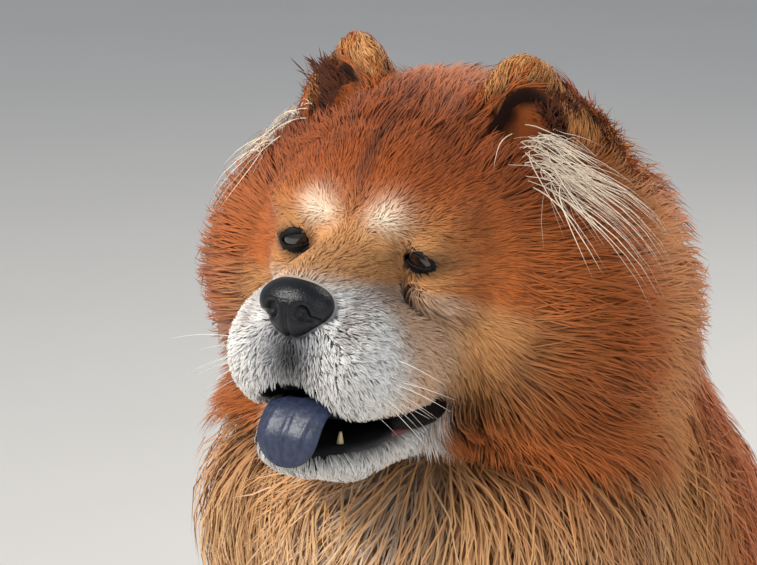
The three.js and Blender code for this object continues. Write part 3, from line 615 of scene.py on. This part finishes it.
coat_material = marked_material("coat_hair", 0.62, 260, 0.16, Specular_IOR_Level=0.25, Sheen_Weight=0.12)
skin_material = marked_material("skin_undercoat", 0.85, 420, 0.2, Specular_IOR_Level=0.2)
nose_material = plain_material(
    "nose_leather", linear(3, 4, 7), linear(13, 15, 24), 0.3, 900, 0.7, Specular_IOR_Level=0.42
)
tongue_material = plain_material(
    "tongue_skin", linear(8, 11, 24), linear(62, 72, 102), 0.42, 260, 0.9, Specular_IOR_Level=0.5
)
lid_material = plain_material(
    "lid_skin", linear(7, 5, 5), linear(20, 13, 10), 0.6, 900, 0.5, Specular_IOR_Level=0.2
)
tooth_material = plain_material("tooth_enamel", linear(178, 156, 104), linear(204, 190, 150), 0.3, 300, 0.1)
claw_material = plain_material("claw_horn", linear(48, 38, 34), linear(88, 72, 62), 0.45, 500, 0.3)
whisker_material = plain_material("whisker_hair", linear(225, 222, 215), linear(240, 238, 232), 0.4, 300, 0.0)


# Skin

def box_net(distance, centre, half, step):
    centre, half = np.array(centre, float), np.array(half, float)
    return net(distance, centre - half, centre + half, step)


def joined(parts):
    points, faces, first = [], [], 0
    for part_points, part_faces in parts:
        points.append(part_points)
        faces.append(part_faces + first)
        first += len(part_points)
    return np.concatenate(points), np.concatenate(faces)


def field_of(forms, level=SKIN):
    return lambda p: measure(forms, p, level)[0]


def tube_faces(rings, sides):
    """Faces between rings of points that have the same number of sides."""
    ring, here = np.divmod(np.arange((rings - 1) * sides), sides)
    first = ring * sides
    beside = (here + 1) % sides
    return np.stack([first + here, first + beside, first + sides + beside, first + sides + here], 1)


FINE = 2.4
LID_STEP = 0.8
NOSE_STEP = 0.9
head_net = net(head_distance, HEAD_LOW, HEAD_HIGH, FINE)
jaw_net = box_net(jaw_distance, head_point(0, 0, -105), (66, 92, 44), FINE)
body_net = net(body_distance, (-190, -290, 2), (190, 290, 700), 7)
tail_net = net(field_of(tail), (-110, 90, 2), (120, 380, 420), 7)
paw_nets = [
    box_net(field_of(toes(s * x, front)), (s * x, front + 24, 18), (42, 32, 26), 2.8)
    for s in (1, -1)
    for x, front in PAWS
]
skin_points, skin_faces = joined([head_net, jaw_net, body_net, tail_net] + paw_nets)
skin = mesh_object("skin", skin_points, skin_faces, skin_material)
paint(skin, skin_colours(skin_points))
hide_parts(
    "head", "lower_jaw", "neck", "torso", "tail", "ear_left", "ear_right", "foreleg_left",
    "foreleg_right", "hindleg_left", "hindleg_right", "forepaw_left", "forepaw_right",
    "hindpaw_left", "hindpaw_right",
)


# Eyes, lids, nose, tongue, teeth and claws

def eye_material():
    """A wet surface over a painted iris and pupil."""
    material, nodes, links, principled = shader("eye_cornea", 0.06, Coat_Weight=1.0, Coat_Roughness=0.02)
    rings = nodes.new("ShaderNodeVertexColor")
    rings.layer_name = "Markings_and_shade"
    noise = nodes.new("ShaderNodeTexNoise")
    noise.inputs["Scale"].default_value = 900
    scaled = nodes.new("ShaderNodeVectorMath")
    scaled.operation = "MULTIPLY"
    lift = nodes.new("ShaderNodeMapRange")
    lift.inputs["To Min"].default_value = 0.7
    lift.inputs["To Max"].default_value = 1.3
    links.new(noise.outputs["Fac"], lift.inputs["Value"])
    links.new(rings.outputs["Color"], scaled.inputs[0])
    links.new(lift.outputs["Result"], scaled.inputs[1])
    links.new(scaled.outputs["Vector"], principled.inputs["Base Color"])
    return material


def ball(centre, radius, rings=28, sides=48):
    """A sphere whose poles are at its front and back."""
    points = []
    for i in range(rings + 1):
        bend = math.pi * i / rings
        for j in range(sides):
            turn = 2 * math.pi * j / sides
            ring = max(math.sin(bend), 1e-4)
            points.append([ring * math.cos(turn), -math.cos(bend), ring * math.sin(turn)])
    return centre + radius * np.array(points), tube_faces(rings + 1, sides)


cornea = eye_material()
for s, centre, name in ((1, eye_centres[0], "eye_left"), (-1, eye_centres[1], "eye_right")):
    points, faces = ball(centre, EYE_RADIUS)
    gaze = HEAD_TURN @ np.array([s * 0.16, -0.98, 0.0])
    off = np.linalg.norm((points - centre) / EYE_RADIUS - gaze / np.linalg.norm(gaze), axis=1) * EYE_RADIUS
    tones = np.broadcast_to(linear(38, 22, 13), points.shape).copy()
    tones = mix_in(tones, linear(8, 7, 8), 1 - ramp(off, 3.2, 3.9))
    tones = mix_in(tones, linear(22, 14, 12), ramp(off, 6.6, 7.8))
    eye = mesh_object("visual_" + name, points, faces, cornea)
    paint(eye, tones)
    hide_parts(name)

    def lid_distance(p):
        away = np.linalg.norm(p - centre, axis=1)
        shell = np.maximum(away - 13.9, 12.6 - away)
        opening = measure_form(eye_opening(s, 10, 3.1), p, TIPS)[0]
        behind = (p - centre)[:, 1] - 3
        return np.maximum(smooth_max(shell, -opening, 1.0), behind)

    points, faces = box_net(lid_distance, centre, (18, 18, 18), LID_STEP)
    lids = mesh_object(name.replace("eye", "lids"), points, faces, lid_material)

nose_pad = on_head(ellipsoid([-0.8, -63, -19.5], [22.8, 15.5, 14.8], blend=8))
nose_foot = on_head(ellipsoid([-0.8, -65, -28], [11, 11, 10.5], blend=8))
nostrils = [
    on_head(form)
    for form in both(
        lambda s: [
            ellipsoid([s * 10, -81, -22], [5.6, 10, 6.2]),
            ellipsoid([s * 19, -74, -28], [9, 8, 2.8], turn=[0, s * 24, 0]),
        ]
    )
]


def nose_distance(p):
    d = measure([nose_pad, nose_foot], p, TIPS)[0]
    for nostril in nostrils:
        d = smooth_max(d, -measure_form(nostril, p, TIPS)[0], 2.4)
    h = to_head(p)
    groove = 1.6 * np.exp(-((h[:, 0] / 1.3) ** 2)) * (1 - ramp(h[:, 2], -24, -14))
    return d + groove


nose_net = box_net(nose_distance, head_point(0, -66, -26), (30, 24, 26), NOSE_STEP)
nose = mesh_object("visual_nose", *nose_net, nose_material)
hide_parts("nose")


def curve_through(points, count):
    """Evenly numbered points on a smooth line through the given ones."""
    points = np.array(points, float)
    ends = np.concatenate([[2 * points[0] - points[1]], points, [2 * points[-1] - points[-2]]])
    line = []
    for u in np.linspace(0, len(points) - 1, count):
        k = min(int(u), len(points) - 2)
        t = u - k
        a, b, c, d = ends[k : k + 4]
        bend = (2 * a - 5 * b + 4 * c - d) * t**2
        line.append(0.5 * (2 * b + (c - a) * t + bend + (3 * b - a - 3 * c + d) * t**3))
    return np.array(line)


TONGUE_PATH = [[2, 0, -96], [3, -34, -88], [3, -60, -80], [3, -74, -92], [3, -78, -111]]
TONGUE_HALF_WIDTH = 20
TONGUE_HALF_THICKNESS = 4.4
TONGUE_RINGS = 90
TONGUE_SIDES = 72
TIP_FROM = 0.72  # share of the tongue's length where its rounded tip begins


def tongue_mesh():
    """Lies over the lower jaw and bends down over the lip. Grooves run back from its edge."""
    path = curve_through(TONGUE_PATH, TONGUE_RINGS)
    last = TONGUE_RINGS - 1
    points = []
    for i, at in enumerate(path):
        ahead = path[min(i + 1, last)] - path[max(i - 1, 0)]
        ahead /= np.linalg.norm(ahead)
        up = np.cross([1, 0, 0], ahead)
        share = i / last
        in_tip = max(0.0, share - TIP_FROM)
        half = TONGUE_HALF_WIDTH * math.sqrt(max(1 - (in_tip / 0.285) ** 2.4, 0.0004))
        thick = TONGUE_HALF_THICKNESS * (1 - 0.5 * (in_tip / 0.28) ** 2)
        for turn in 2 * math.pi * np.arange(TONGUE_SIDES) / TONGUE_SIDES:
            across = math.cos(turn)
            groove = max(0.0, math.cos(across * 11 + 0.8 * math.sin(share * 9))) ** 5
            relief = -1.3 * groove * math.sin(turn) ** 2 * (0.3 + share)
            dip = -2.2 * math.exp(-((across / 0.16) ** 2)) * max(math.sin(turn), 0)
            points.append(at + [half * across, 0, 0] + up * (thick * math.sin(turn) + relief + dip))
    return from_head(np.array(points)), tube_faces(TONGUE_RINGS, TONGUE_SIDES)


tongue = mesh_object("visual_tongue", *tongue_mesh(), tongue_material)
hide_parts("tongue")

for s, side in ((1, "left"), (-1, "right")):
    tooth = on_head(limb([s * 23, -50, -106], [s * 24, -52, -93], [3.4, 1.0]))
    tooth_net = box_net(field_of([tooth], TIPS), head_point(s * 22.5, -51, -94), (9, 10, 18), 1.0)
    piece = mesh_object("canine_" + side, *tooth_net, tooth_material)

gum_material = plain_material("gum_flesh", linear(96, 46, 50), linear(150, 88, 88), 0.35, 500, 0.4)
gum_line = [
    on_head(limb([s * 27, -42, -106], [s * 38, -4, -99], [3.8, 3.8], blend=1)) for s in (1, -1)
]
gum_net = box_net(field_of(gum_line, TIPS), head_point(0, -24, -106), (46, 32, 12), 1.6)
gums = mesh_object("gums", *gum_net, gum_material)

lining_forms = [on_head(ellipsoid([s * 42, 6, -91], [11, 30, 8])) for s in (1, -1)]
lining_net = box_net(field_of(lining_forms, TIPS), head_point(0, 6, -91), (58, 36, 14), 2.0)
lining = mesh_object("mouth_lining", *lining_net, lid_material)

claw_nets = []
for x, front in [(s * x, front) for x, front in PAWS for s in (1, -1)]:
    for dx in TOES:
        y = front + (9 if abs(dx) > 12 else 0)
        claw = limb([x + dx, y + 6, 15], [x + dx, y - 7, 5], [3.6, 1.6])
        claw_nets.append(box_net(field_of([claw], TIPS), (x + dx, y, 10), (6, 14, 12), 1.6))
claws = mesh_object("claws", *joined(claw_nets), claw_material)


# Coat

LOWEST_HAIR = 2.5  # above the floor
HEAD_MIDDLE = head_point(0, 60, -10)


def unit(v):
    return v / np.maximum(np.linalg.norm(v, axis=-1, keepdims=True), 1e-9)


def is_face(p):
    h = to_head(p)
    return 1 - ramp(h[:, 1], 24, 44)


def body_lie(p):
    """The way that hair lies on the body: back from the nose on the head, out round the ruff, then down."""
    ruff = ramp(p[:, 2], 430, 580)[:, None]
    face = is_face(p)[:, None]
    away = unit(p - head_point(0, -40, -12)) * (1 - face) + unit(p - head_point(0, -98, -2)) * face
    away = away + np.array([0, 0.2, -0.16])
    back = np.where(p[:, 1] > -60, 0.45, 0.05)
    down = np.stack([0.0014 * p[:, 0], back, -np.ones(len(p))], 1)
    return unit(away * ruff + down * (1 - ruff))


def tail_lie(p):
    """Along the nearest bone of the tail, and out to its sides."""
    best = np.full(len(p), 1e9)
    lie = np.zeros_like(p)
    for start, end in zip(TAIL_BONE[:-1], TAIL_BONE[1:]):
        along = end - start
        share = np.clip((p - start) @ along / (along @ along), 0, 1)
        off = p - start - share[:, None] * along
        far = np.linalg.norm(off, axis=1)
        nearer = far < best
        best[nearer] = far[nearer]
        lie[nearer] = unit(along)[None] + 0.7 * unit(off[nearer])
    return unit(lie)


def scatter(points, faces, density):
    """Roots spread over a mesh. Density is tufts per square millimetre at each point."""
    triangles = np.concatenate([faces[:, [0, 1, 2]], faces[:, [0, 2, 3]]])
    a, b, c = (points[triangles[:, k]] for k in range(3))
    area = np.linalg.norm(np.cross(b - a, c - a), axis=1) / 2
    weight = area * density((a + b + c) / 3) * DETAIL
    count = int(weight.sum())
    chosen = rng.choice(len(triangles), count, p=weight / weight.sum())
    u, v = rng.random((2, count, 1))
    flip = u + v > 1
    u, v = np.where(flip, 1 - u, u), np.where(flip, 1 - v, v)
    return a[chosen] + u * (b[chosen] - a[chosen]) + v * (c[chosen] - a[chosen])


def gather(roots, size):
    """A nearby centre for each root, on a jittered grid, that tufts lean towards so that they form locks."""
    cell = np.floor(roots / size).astype(int)
    mixed = (cell[:, 0] * 73856093) ^ (cell[:, 1] * 19349663) ^ (cell[:, 2] * 83492791)
    jitter = np.stack([((mixed >> k) % 1000) / 1000 for k in (0, 7, 13)], 1)
    return (cell + jitter) * size, ((mixed >> 5) % 997) / 997


def grow(roots, forms, lie_of, length, width, clump, frizz, steps=4, wave=0.0, height=(0.4, 1.04)):
    """Ribbons that start in the skin, follow the lie and end near the coat's outer surface."""
    count = len(roots)
    normal = measure(forms, roots, SKIN)[1]
    climb = rng.uniform(*height, count)
    reach = length(roots) * rng.uniform(0.7, 1.15, count)
    centre, tone = gather(roots, clump)
    sway = np.stack([soft_noise(roots, clump * 3.2, seed) for seed in (21, 31, 41)], 1)
    wild = rng.normal(size=(count, 3))
    phase = soft_noise(roots, clump, 51) * 3 + rng.normal(0, 0.4, count)
    path, normals = [roots - normal * 1.2], [normal]
    p = roots.copy()
    for k in range(1, steps + 1):
        t = k / steps
        lie = lie_of(p) + frizz * (0.9 * sway + 0.32 * wild)
        lie -= normal * (lie * normal).sum(axis=1, keepdims=True) * 0.85
        lie = unit(lie)
        curl = wave * np.sin(phase + 2.4 * k)[:, None] * unit(np.cross(lie, normal))
        pull = centre + lie * (reach * t)[:, None] - p
        pull -= normal * (pull * normal).sum(axis=1, keepdims=True)
        p = p + lie * (reach / steps)[:, None] + 0.3 * t * np.clip(pull, -clump, clump) + curl
        depth, normal = measure(forms, p, SKIN)
        thick = np.maximum(depth - measure(forms, p, TIPS)[0], 2.0)
        want = climb * thick * (1 - (1 - t) ** 1.7)
        p = p + normal * np.clip(want - depth, -16, 16)[:, None]
        p[:, 2] = np.maximum(p[:, 2], LOWEST_HAIR)
        path.append(p.copy())
        normals.append(normal)
    return {
        "path": np.stack(path, 1),
        "normals": np.stack(normals, 1),
        "width": width(roots) * rng.uniform(0.7, 1.25, count),
        "tone": 0.9 + 0.16 * tone + rng.normal(0, 0.06, count),
        "roots": roots,
    }


def ribbon_piece(name, tufts, colour_of, slot, dark_root, axis_centre=HEAD_MIDDLE, bright=1.0):
    """One mesh of tufts, each a tapered blade that is rolled a little about its own length."""
    path, normals = tufts["path"], tufts["normals"]
    count, rows = path.shape[:2]
    along = unit(np.gradient(path, axis=1))
    across = unit(np.cross(along, normals))
    roll = rng.normal(0, 0.5, count)[:, None, None]
    facing = np.cross(across, along)
    across = across * np.cos(roll) + facing * np.sin(roll)
    t = np.linspace(0, 1, rows)
    taper = np.interp(t, [0, 0.35, 0.75, 1], [0.75, 1.0, 0.62, 0.0])
    half = tufts["width"][:, None] / 2 * taper
    left = path + across * half[..., None]
    right = path - across * half[..., None]
    points = np.concatenate([left[:, :-1], right[:, :-1], path[:, -1:]], axis=1)
    size = 2 * rows - 1
    first = np.arange(count)[:, None] * size
    faces = []
    for k in range(rows - 2):
        l0, l1, r0, r1 = k, k + 1, rows - 1 + k, rows + k
        faces += [first + [l0, l1, r1], first + [l0, r1, r0]]
    faces.append(first + [rows - 2, 2 * rows - 2, 2 * rows - 3])
    faces = np.stack(faces, 1).reshape(-1, 3)
    flat = points.reshape(-1, 3)
    piece = mesh_object(name, flat, faces, coat_material)
    own = np.cross(along, across)
    own *= np.sign((own * normals).sum(axis=2, keepdims=True) + 1e-9)
    soft = unit(0.72 * normals + 0.42 * own + 0.16 * along)
    soft = np.concatenate([soft[:, :-1], soft[:, :-1], soft[:, -1:]], axis=1).reshape(-1, 3)
    piece.data.normals_split_custom_set_from_vertices(soft.astype(np.float32))
    at_root = colour_of(tufts["roots"])
    at_tip = colour_of(path[:, -1])
    share = np.concatenate([t[:-1], t[:-1], t[-1:]])[None, :, None]
    # Painted shade and light: each tuft is darker at its root, deep in the coat, and a little brighter than
    # the coat's colour at its tip.
    painted_depth_shade = dark_root + (1.12 - dark_root) * np.clip(share * 1.35, 0, 1) ** 0.8
    colour = (at_root[:, None] * (1 - share) + at_tip[:, None] * share) * painted_depth_shade
    colour *= np.clip(tufts["tone"], 0.55, 1.35)[:, None, None] * bright
    paint(piece, np.clip(colour.reshape(-1, 3), 0.001, 1))
    unwrap(piece, tufts["roots"], share, faces, size, axis_centre)


PATCH = 0.003  # how far across a tuft is on the unwrap


def unwrap(piece, roots, share, faces, size, centre):
    """Each tuft is a small patch where its root is on an unwrap of the skin round an upright axis."""
    off = roots - np.array(centre, float)
    turn = np.arctan2(off[:, 0], off[:, 1]) / (2 * math.pi) + 0.5
    height = np.arctan2(off[:, 2], np.hypot(off[:, 0], off[:, 1])) / math.pi + 0.5
    base = np.stack([turn, height], 1) * 0.99 + PATCH
    rows = (size + 1) // 2
    side = np.concatenate([np.full(rows - 1, -1.0), np.full(rows - 1, 1.0), [0.0]])
    patch = np.stack([side * PATCH / 2, (share[0, :, 0] - 0.5) * PATCH], 1)
    corners = (base[:, None] + patch[None]).reshape(-1, 2)
    layer = piece.data.uv_layers.new(name="OFBake")
    layer.data.foreach_set("uv", corners[faces.ravel()].astype(np.float32).ravel())


def keep(roots, *tests):
    """The roots that pass every test."""
    good = np.ones(len(roots), bool)
    for test in tests:
        good &= test
    return roots[good]


def constant(value):
    return lambda p: np.full(len(p), float(value))


def haired(p, hollow=roof):
    """True where the skin has hair: not on the lips, round the eyes or under the nose."""
    good = mouth_distance(p, hollow) > 3.0
    for s in (1, -1):
        good &= measure_form(eye_opening(s, 9.6, 2.8), p, TIPS)[0] > 0.1
    return good & (measure([nose_pad, nose_foot], p, TIPS)[0] > 0)


def head_density(p):
    face = is_face(p)
    return 1.75 * face + 0.55 * (1 - face)


def head_length(p):
    h = to_head(p)
    back = ramp(h[:, 1], -50, 40)
    crown = ramp(h[:, 2], 10, 50) * ramp(h[:, 1], 20, 90)
    cheek = ramp(np.abs(h[:, 0]), 58, 90) * ramp(h[:, 1], 10, 60)
    return 5 + 6 * back + 13 * crown + 34 * cheek


def head_width(p):
    h = to_head(p)
    return 0.72 + 0.25 * ramp(h[:, 1], -10, 50) + 0.4 * ramp(np.abs(h[:, 0]), 70, 100)


MOST_TUFTS = 27000


def coat_pieces(name, tufts, colour_of, slot, ears_clear=False, **look):
    """As many pieces as keep each small. With ears_clear, tufts that cross the ears' cups are left out."""
    if ears_clear:
        steps = tufts["path"].transpose(1, 0, 2)
        clear = np.min([cup_distances(step).min(axis=0) for step in steps], axis=0) > 1.5
        tufts = {key: value[clear] for key, value in tufts.items()}
    order = np.argsort(tufts["roots"] @ np.array([0.2, 1.0, 0.4]))
    parts = max(1, math.ceil(len(order) / MOST_TUFTS))
    for k, chosen in enumerate(np.array_split(order, parts)):
        some = {key: value[chosen] for key, value in tufts.items()}
        ribbon_piece(name + "_" + str(k + 1), some, colour_of, slot, **look)


head_skin = measure(body, head_net[0], SKIN)[0]
outer_faces = head_net[1][(np.abs(head_skin[head_net[1]]) < 5).all(axis=1)]
head_roots = scatter(head_net[0], outer_faces, head_density)
from_eyes = to_head(head_roots)[:, 1]
out_of_cups = cup_distances(head_roots).min(axis=0) > 0.5
head_roots = keep(head_roots, haired(head_roots), from_eyes < 128, from_eyes > -78, out_of_cups)
on_face = is_face(head_roots) > 0.5
face_tufts = grow(
    head_roots[on_face], body, body_lie, head_length, head_width, 4.5, 0.26, steps=3, height=(-0.05, 0.6)
)
coat_pieces("coat_face", face_tufts, markings_and_shade, "red_coat", dark_root=0.68, bright=1.06)
crown_tufts = grow(
    head_roots[~on_face], body, body_lie, head_length, head_width, 12, 0.46, height=(0.45, 1.15)
)
coat_pieces("coat_crown", crown_tufts, markings_and_shade, "red_coat", ears_clear=True, dark_root=0.42)

jaw_field = measure(jaw, jaw_net[0], SKIN)[0]
jaw_faces = jaw_net[1][(np.abs(jaw_field[jaw_net[1]]) < 1.5).all(axis=1)]
jaw_roots = scatter(jaw_net[0], jaw_faces, constant(0.95))
jaw_roots = keep(jaw_roots, haired(jaw_roots, bed), to_head(jaw_roots)[:, 1] < 40)
jaw_tufts = grow(jaw_roots, jaw, body_lie, constant(8), constant(0.9), 5, 0.3, steps=3, height=(0.1, 0.7))
coat_pieces("coat_jaw", jaw_tufts, markings_and_shade, "muzzle_coat", dark_root=0.6)


def inside_head(p):
    return ((p > HEAD_LOW + 6) & (p < HEAD_HIGH - 6)).all(axis=1)


def body_density(p):
    front = ramp(-p[:, 1], -60, 60) * ramp(p[:, 2], 250, 420)
    low = 1 - ramp(p[:, 2], 60, 150)
    return 0.052 + 0.16 * front + 0.1 * low


def body_length(p):
    upper = ramp(p[:, 2], 330, 470)
    paws = 1 - ramp(p[:, 2], 40, 110)
    legs = (1 - ramp(p[:, 2], 120, 300)) * ramp(-p[:, 1], 20, 90)
    return (52 + 30 * upper) * (1 - 0.55 * legs) * (1 - paws) + 9 * paws


def body_width(p):
    paws = 1 - ramp(p[:, 2], 40, 110)
    return (2.7 - 1.4 * ramp(p[:, 2], 360, 500)) * (1 - paws) + 1.4 * paws


body_roots = scatter(*body_net, body_density)
near_skin = np.abs(measure(body, body_roots, SKIN)[0]) < 3
body_roots = keep(body_roots, ~inside_head(body_roots), near_skin, body_roots[:, 2] > 6)
body_tufts = grow(body_roots, body, body_lie, body_length, body_width, 17, 0.6, wave=3.2)
coat_pieces(
    "coat_body", body_tufts, markings_and_shade, "red_coat", ears_clear=True, dark_root=0.36, axis_centre=(0, 0, 330)
)

tail_roots = scatter(*tail_net, constant(0.11))
tail_tufts = grow(tail_roots, tail, tail_lie, constant(78), constant(2.4), 18, 0.42, wave=2)
coat_pieces("coat_tail", tail_tufts, markings_and_shade, "golden_coat", dark_root=0.4, axis_centre=(8, 240, 220))

toe_roots = scatter(*joined(paw_nets), constant(0.3))
toe_roots = toe_roots[toe_roots[:, 2] > 5]
toe_tufts = grow(toe_roots, body, body_lie, constant(8), constant(1.4), 5, 0.3, steps=3)
coat_pieces("coat_toes", toe_tufts, markings_and_shade, "golden_coat", dark_root=0.6, axis_centre=(0, -120, 60))


# Hair of the ears: a fringe from their rims, dark hair in their cups and long pale wisps at their feet

def ear_lie(p):
    """Up and out along the ear."""
    h = to_head(p)
    up = np.stack([np.sign(h[:, 0]) * 0.35, np.full(len(p), -0.1), np.ones(len(p))], 1)
    return unit(up) @ HEAD_TURN.T


def ear_markings(p):
    h = to_head(p)
    side, y, z = np.abs(h[:, 0]), h[:, 1], h[:, 2]
    colour = mix_in(np.broadcast_to(GOLD, p.shape).copy(), ORANGE, (1 - ramp(z, 60, 100)) * 0.5)
    inner = 1 - ramp(((side - 61) / 31) ** 2 + ((z - 60) / 42) ** 2, 0.55, 1.0)
    colour = mix_in(colour, DEEP_BROWN, inner * (1 - ramp(y, 90, 102)) * 0.85)
    return colour * (1 + 0.1 * soft_noise(p, 12, 9))[:, None]


ear_net = net(field_of(ears), EYE_MID + [-120, 70, -10], EYE_MID + [120, 130, 118], FINE + 0.6)
on_rim = cup_distances(ear_net[0]).min(axis=0) > 0.3
rim_faces = ear_net[1][on_rim[ear_net[1]].all(axis=1)]
ear_roots = scatter(ear_net[0], rim_faces, constant(0.95))
ear_roots = ear_roots[to_head(ear_roots)[:, 2] > 30]
ear_tufts = grow(ear_roots, ears, ear_lie, constant(11), constant(0.85), 5, 0.3, steps=3)
coat_pieces("coat_ears", ear_tufts, ear_markings, "red_coat", dark_root=0.6)


def wisp_tufts(count):
    """Long thin tufts that leave the foot of each ear's opening, sweep out and hang back."""
    sides = np.where(rng.random(count) < 0.7, 1, -1)
    spread = rng.uniform(0, 1, count)
    starts = np.stack([sides * (64 + 20 * spread), 74 + rng.normal(0, 4, count), 46 - 22 * spread], 1)
    starts += rng.normal(0, 3, (count, 3))
    reach = rng.uniform(20, 52, count)
    heading = np.stack([sides * (0.75 + 0.2 * spread), np.full(count, -0.1), 0.75 - 0.7 * spread], 1)
    heading = unit(heading + rng.normal(0, 0.32, (count, 3)))
    path = []
    for t in np.linspace(0, 1, 7):
        drop = np.stack([sides * 0.25 * t, np.full(count, 0.4 * t), np.full(count, -0.8 * t**1.5)], 1)
        path.append(starts + (heading * t + drop * t) * reach[:, None])
    path = from_head(np.stack(path, 1))
    flat = path.reshape(-1, 3)
    depth, normals = measure(body, flat, TIPS)
    over = np.repeat(rng.uniform(0, 6, count), 7)
    path = (flat + normals * np.maximum(over - depth, 0)[:, None]).reshape(path.shape)
    normals = normals.reshape(path.shape)
    return {
        "path": path,
        "normals": normals,
        "width": rng.uniform(0.45, 0.9, count),
        "tone": rng.normal(1, 0.08, count),
        "roots": from_head(starts),
    }


def wisp_colour(p):
    return np.broadcast_to(PALE, p.shape) * 1.05


wisps = wisp_tufts(int(260 * DETAIL))
coat_pieces("coat_wisps", wisps, wisp_colour, "golden_coat", dark_root=0.7)


def inner_ear_tufts(count):
    """Dark hair that fills the ears' cups and points out of them."""
    sides = rng.choice([-1, 1], count)
    up = rng.uniform(-26, 26, count)
    wide = rng.normal(0, 7, count)
    starts = np.stack([sides * (64 + 0.4 * up) + wide, np.full(count, 98.0), 56 + up], 1)
    lean = np.stack([sides * 0.3 + wide * 0.02, np.full(count, -0.5), np.full(count, 0.75)], 1)
    heading = unit(lean + rng.normal(0, 0.2, (count, 3)))
    reach = rng.uniform(7, 14, count)
    path = np.stack([starts + heading * (reach * t)[:, None] for t in np.linspace(0, 1, 4)], 1)
    normals = np.broadcast_to(np.array([0.0, -1.0, 0.0]), path.shape).copy()
    return {
        "path": from_head(path),
        "normals": normals,
        "width": rng.uniform(0.8, 1.4, count),
        "tone": rng.normal(1, 0.15, count),
        "roots": from_head(starts),
    }


def inner_ear_colour(p):
    return np.broadcast_to(DEEP_BROWN, p.shape) * 0.8


inner_tufts = inner_ear_tufts(int(2400 * DETAIL))
coat_pieces("coat_inner_ears", inner_tufts, inner_ear_colour, "red_coat", dark_root=0.4)


# Whiskers: thin tapered tubes from the sides of the muzzle

def whiskers(count):
    nets = []
    for n in range(count):
        s = -1 if n % 2 else 1
        out, back, up = rng.uniform(0, 14), rng.uniform(-8, 18), rng.uniform(-18, 12)
        start = np.array([s * (30 + out), -52 + back, -52 + up])
        reach = rng.uniform(26, 52)
        heading = unit(np.array([s * 0.9, rng.uniform(-0.35, 0.3), rng.uniform(-0.5, 0.15)]))
        rings = []
        for t in np.linspace(0, 1, 7):
            at = start + heading * reach * t + np.array([0, 6, -10]) * t**2
            for turn in np.radians([90, 210, 330]):
                radius = 0.34 * (1 - 0.8 * t)
                rings.append(at + radius * np.array([0, math.cos(turn), math.sin(turn)]))
        nets.append((from_head(np.array(rings)), tube_faces(7, 3)))
    return joined(nets)


whisker = mesh_object("whiskers", *whiskers(26), whisker_material)


# Floor, light and camera

bpy.ops.mesh.primitive_plane_add(size=14, location=(0, 0, cad_bounds[0][2]))
floor = bpy.context.object
floor.name = "floor"
floor_material = plain_material("floor_plain", linear(214, 212, 208), linear(220, 218, 214), 0.8, 3, 0.0)
floor.data.materials.append(floor_material)


def area_light(name, location, size, power, colour, target):
    data = bpy.data.lights.new(name, "AREA")
    data.shape = "DISK"
    data.size = size
    data.energy = power
    data.color = colour
    lamp = bpy.data.objects.new(name, data)
    lamp.location = location
    aim = Vector(target) - Vector(location)
    lamp.rotation_euler = aim.to_track_quat("-Z", "Y").to_euler()
    bpy.context.scene.collection.objects.link(lamp)


eye_mid = to_frame(EYE_MID)
area_light("key", (-1.2, -2.4, 2.6), 1.1, 112, (1.0, 0.96, 0.9), eye_mid)
area_light("fill", (2.6, -1.4, 1.3), 2.2, 18, (0.92, 0.96, 1.0), eye_mid)
area_light("back", (0.8, 2.4, 2.2), 1.4, 60, (1.0, 0.95, 0.88), eye_mid)
world = bpy.data.worlds.new("soft_sky")
world.use_nodes = True
world.node_tree.nodes["Background"].inputs["Color"].default_value = (0.82, 0.87, 0.95, 1)
world.node_tree.nodes["Background"].inputs["Strength"].default_value = 0.42
bpy.context.scene.world = world
bpy.context.scene.view_settings.view_transform = "Standard"

AZIMUTH = math.radians(30)
ELEVATION = math.radians(12)
VIEW_DISTANCE = 2.2
PIXELS_PER_MM = 1.75
IMAGE_WIDTH = 757
IMAGE_HEIGHT = 565
EYES_FROM_LEFT = 356
EYES_FROM_TOP = 248.5
SENSOR_WIDTH = 36
toward = np.array(
    [
        math.sin(AZIMUTH) * math.cos(ELEVATION),
        -math.cos(AZIMUTH) * math.cos(ELEVATION),
        math.sin(ELEVATION),
    ]
)
camera_data = bpy.data.cameras.new("camera")
camera = bpy.data.objects.new("camera", camera_data)
camera.location = eye_mid + VIEW_DISTANCE * toward
camera.rotation_euler = Vector(-toward).to_track_quat("-Z", "Y").to_euler()
camera_data.lens = SENSOR_WIDTH * VIEW_DISTANCE * 1000 / (IMAGE_WIDTH / PIXELS_PER_MM)
camera_data.shift_x = (IMAGE_WIDTH / 2 - EYES_FROM_LEFT) / IMAGE_WIDTH
camera_data.shift_y = -(IMAGE_HEIGHT / 2 - EYES_FROM_TOP) / IMAGE_WIDTH
bpy.context.scene.collection.objects.link(camera)
bpy.context.scene.camera = camera
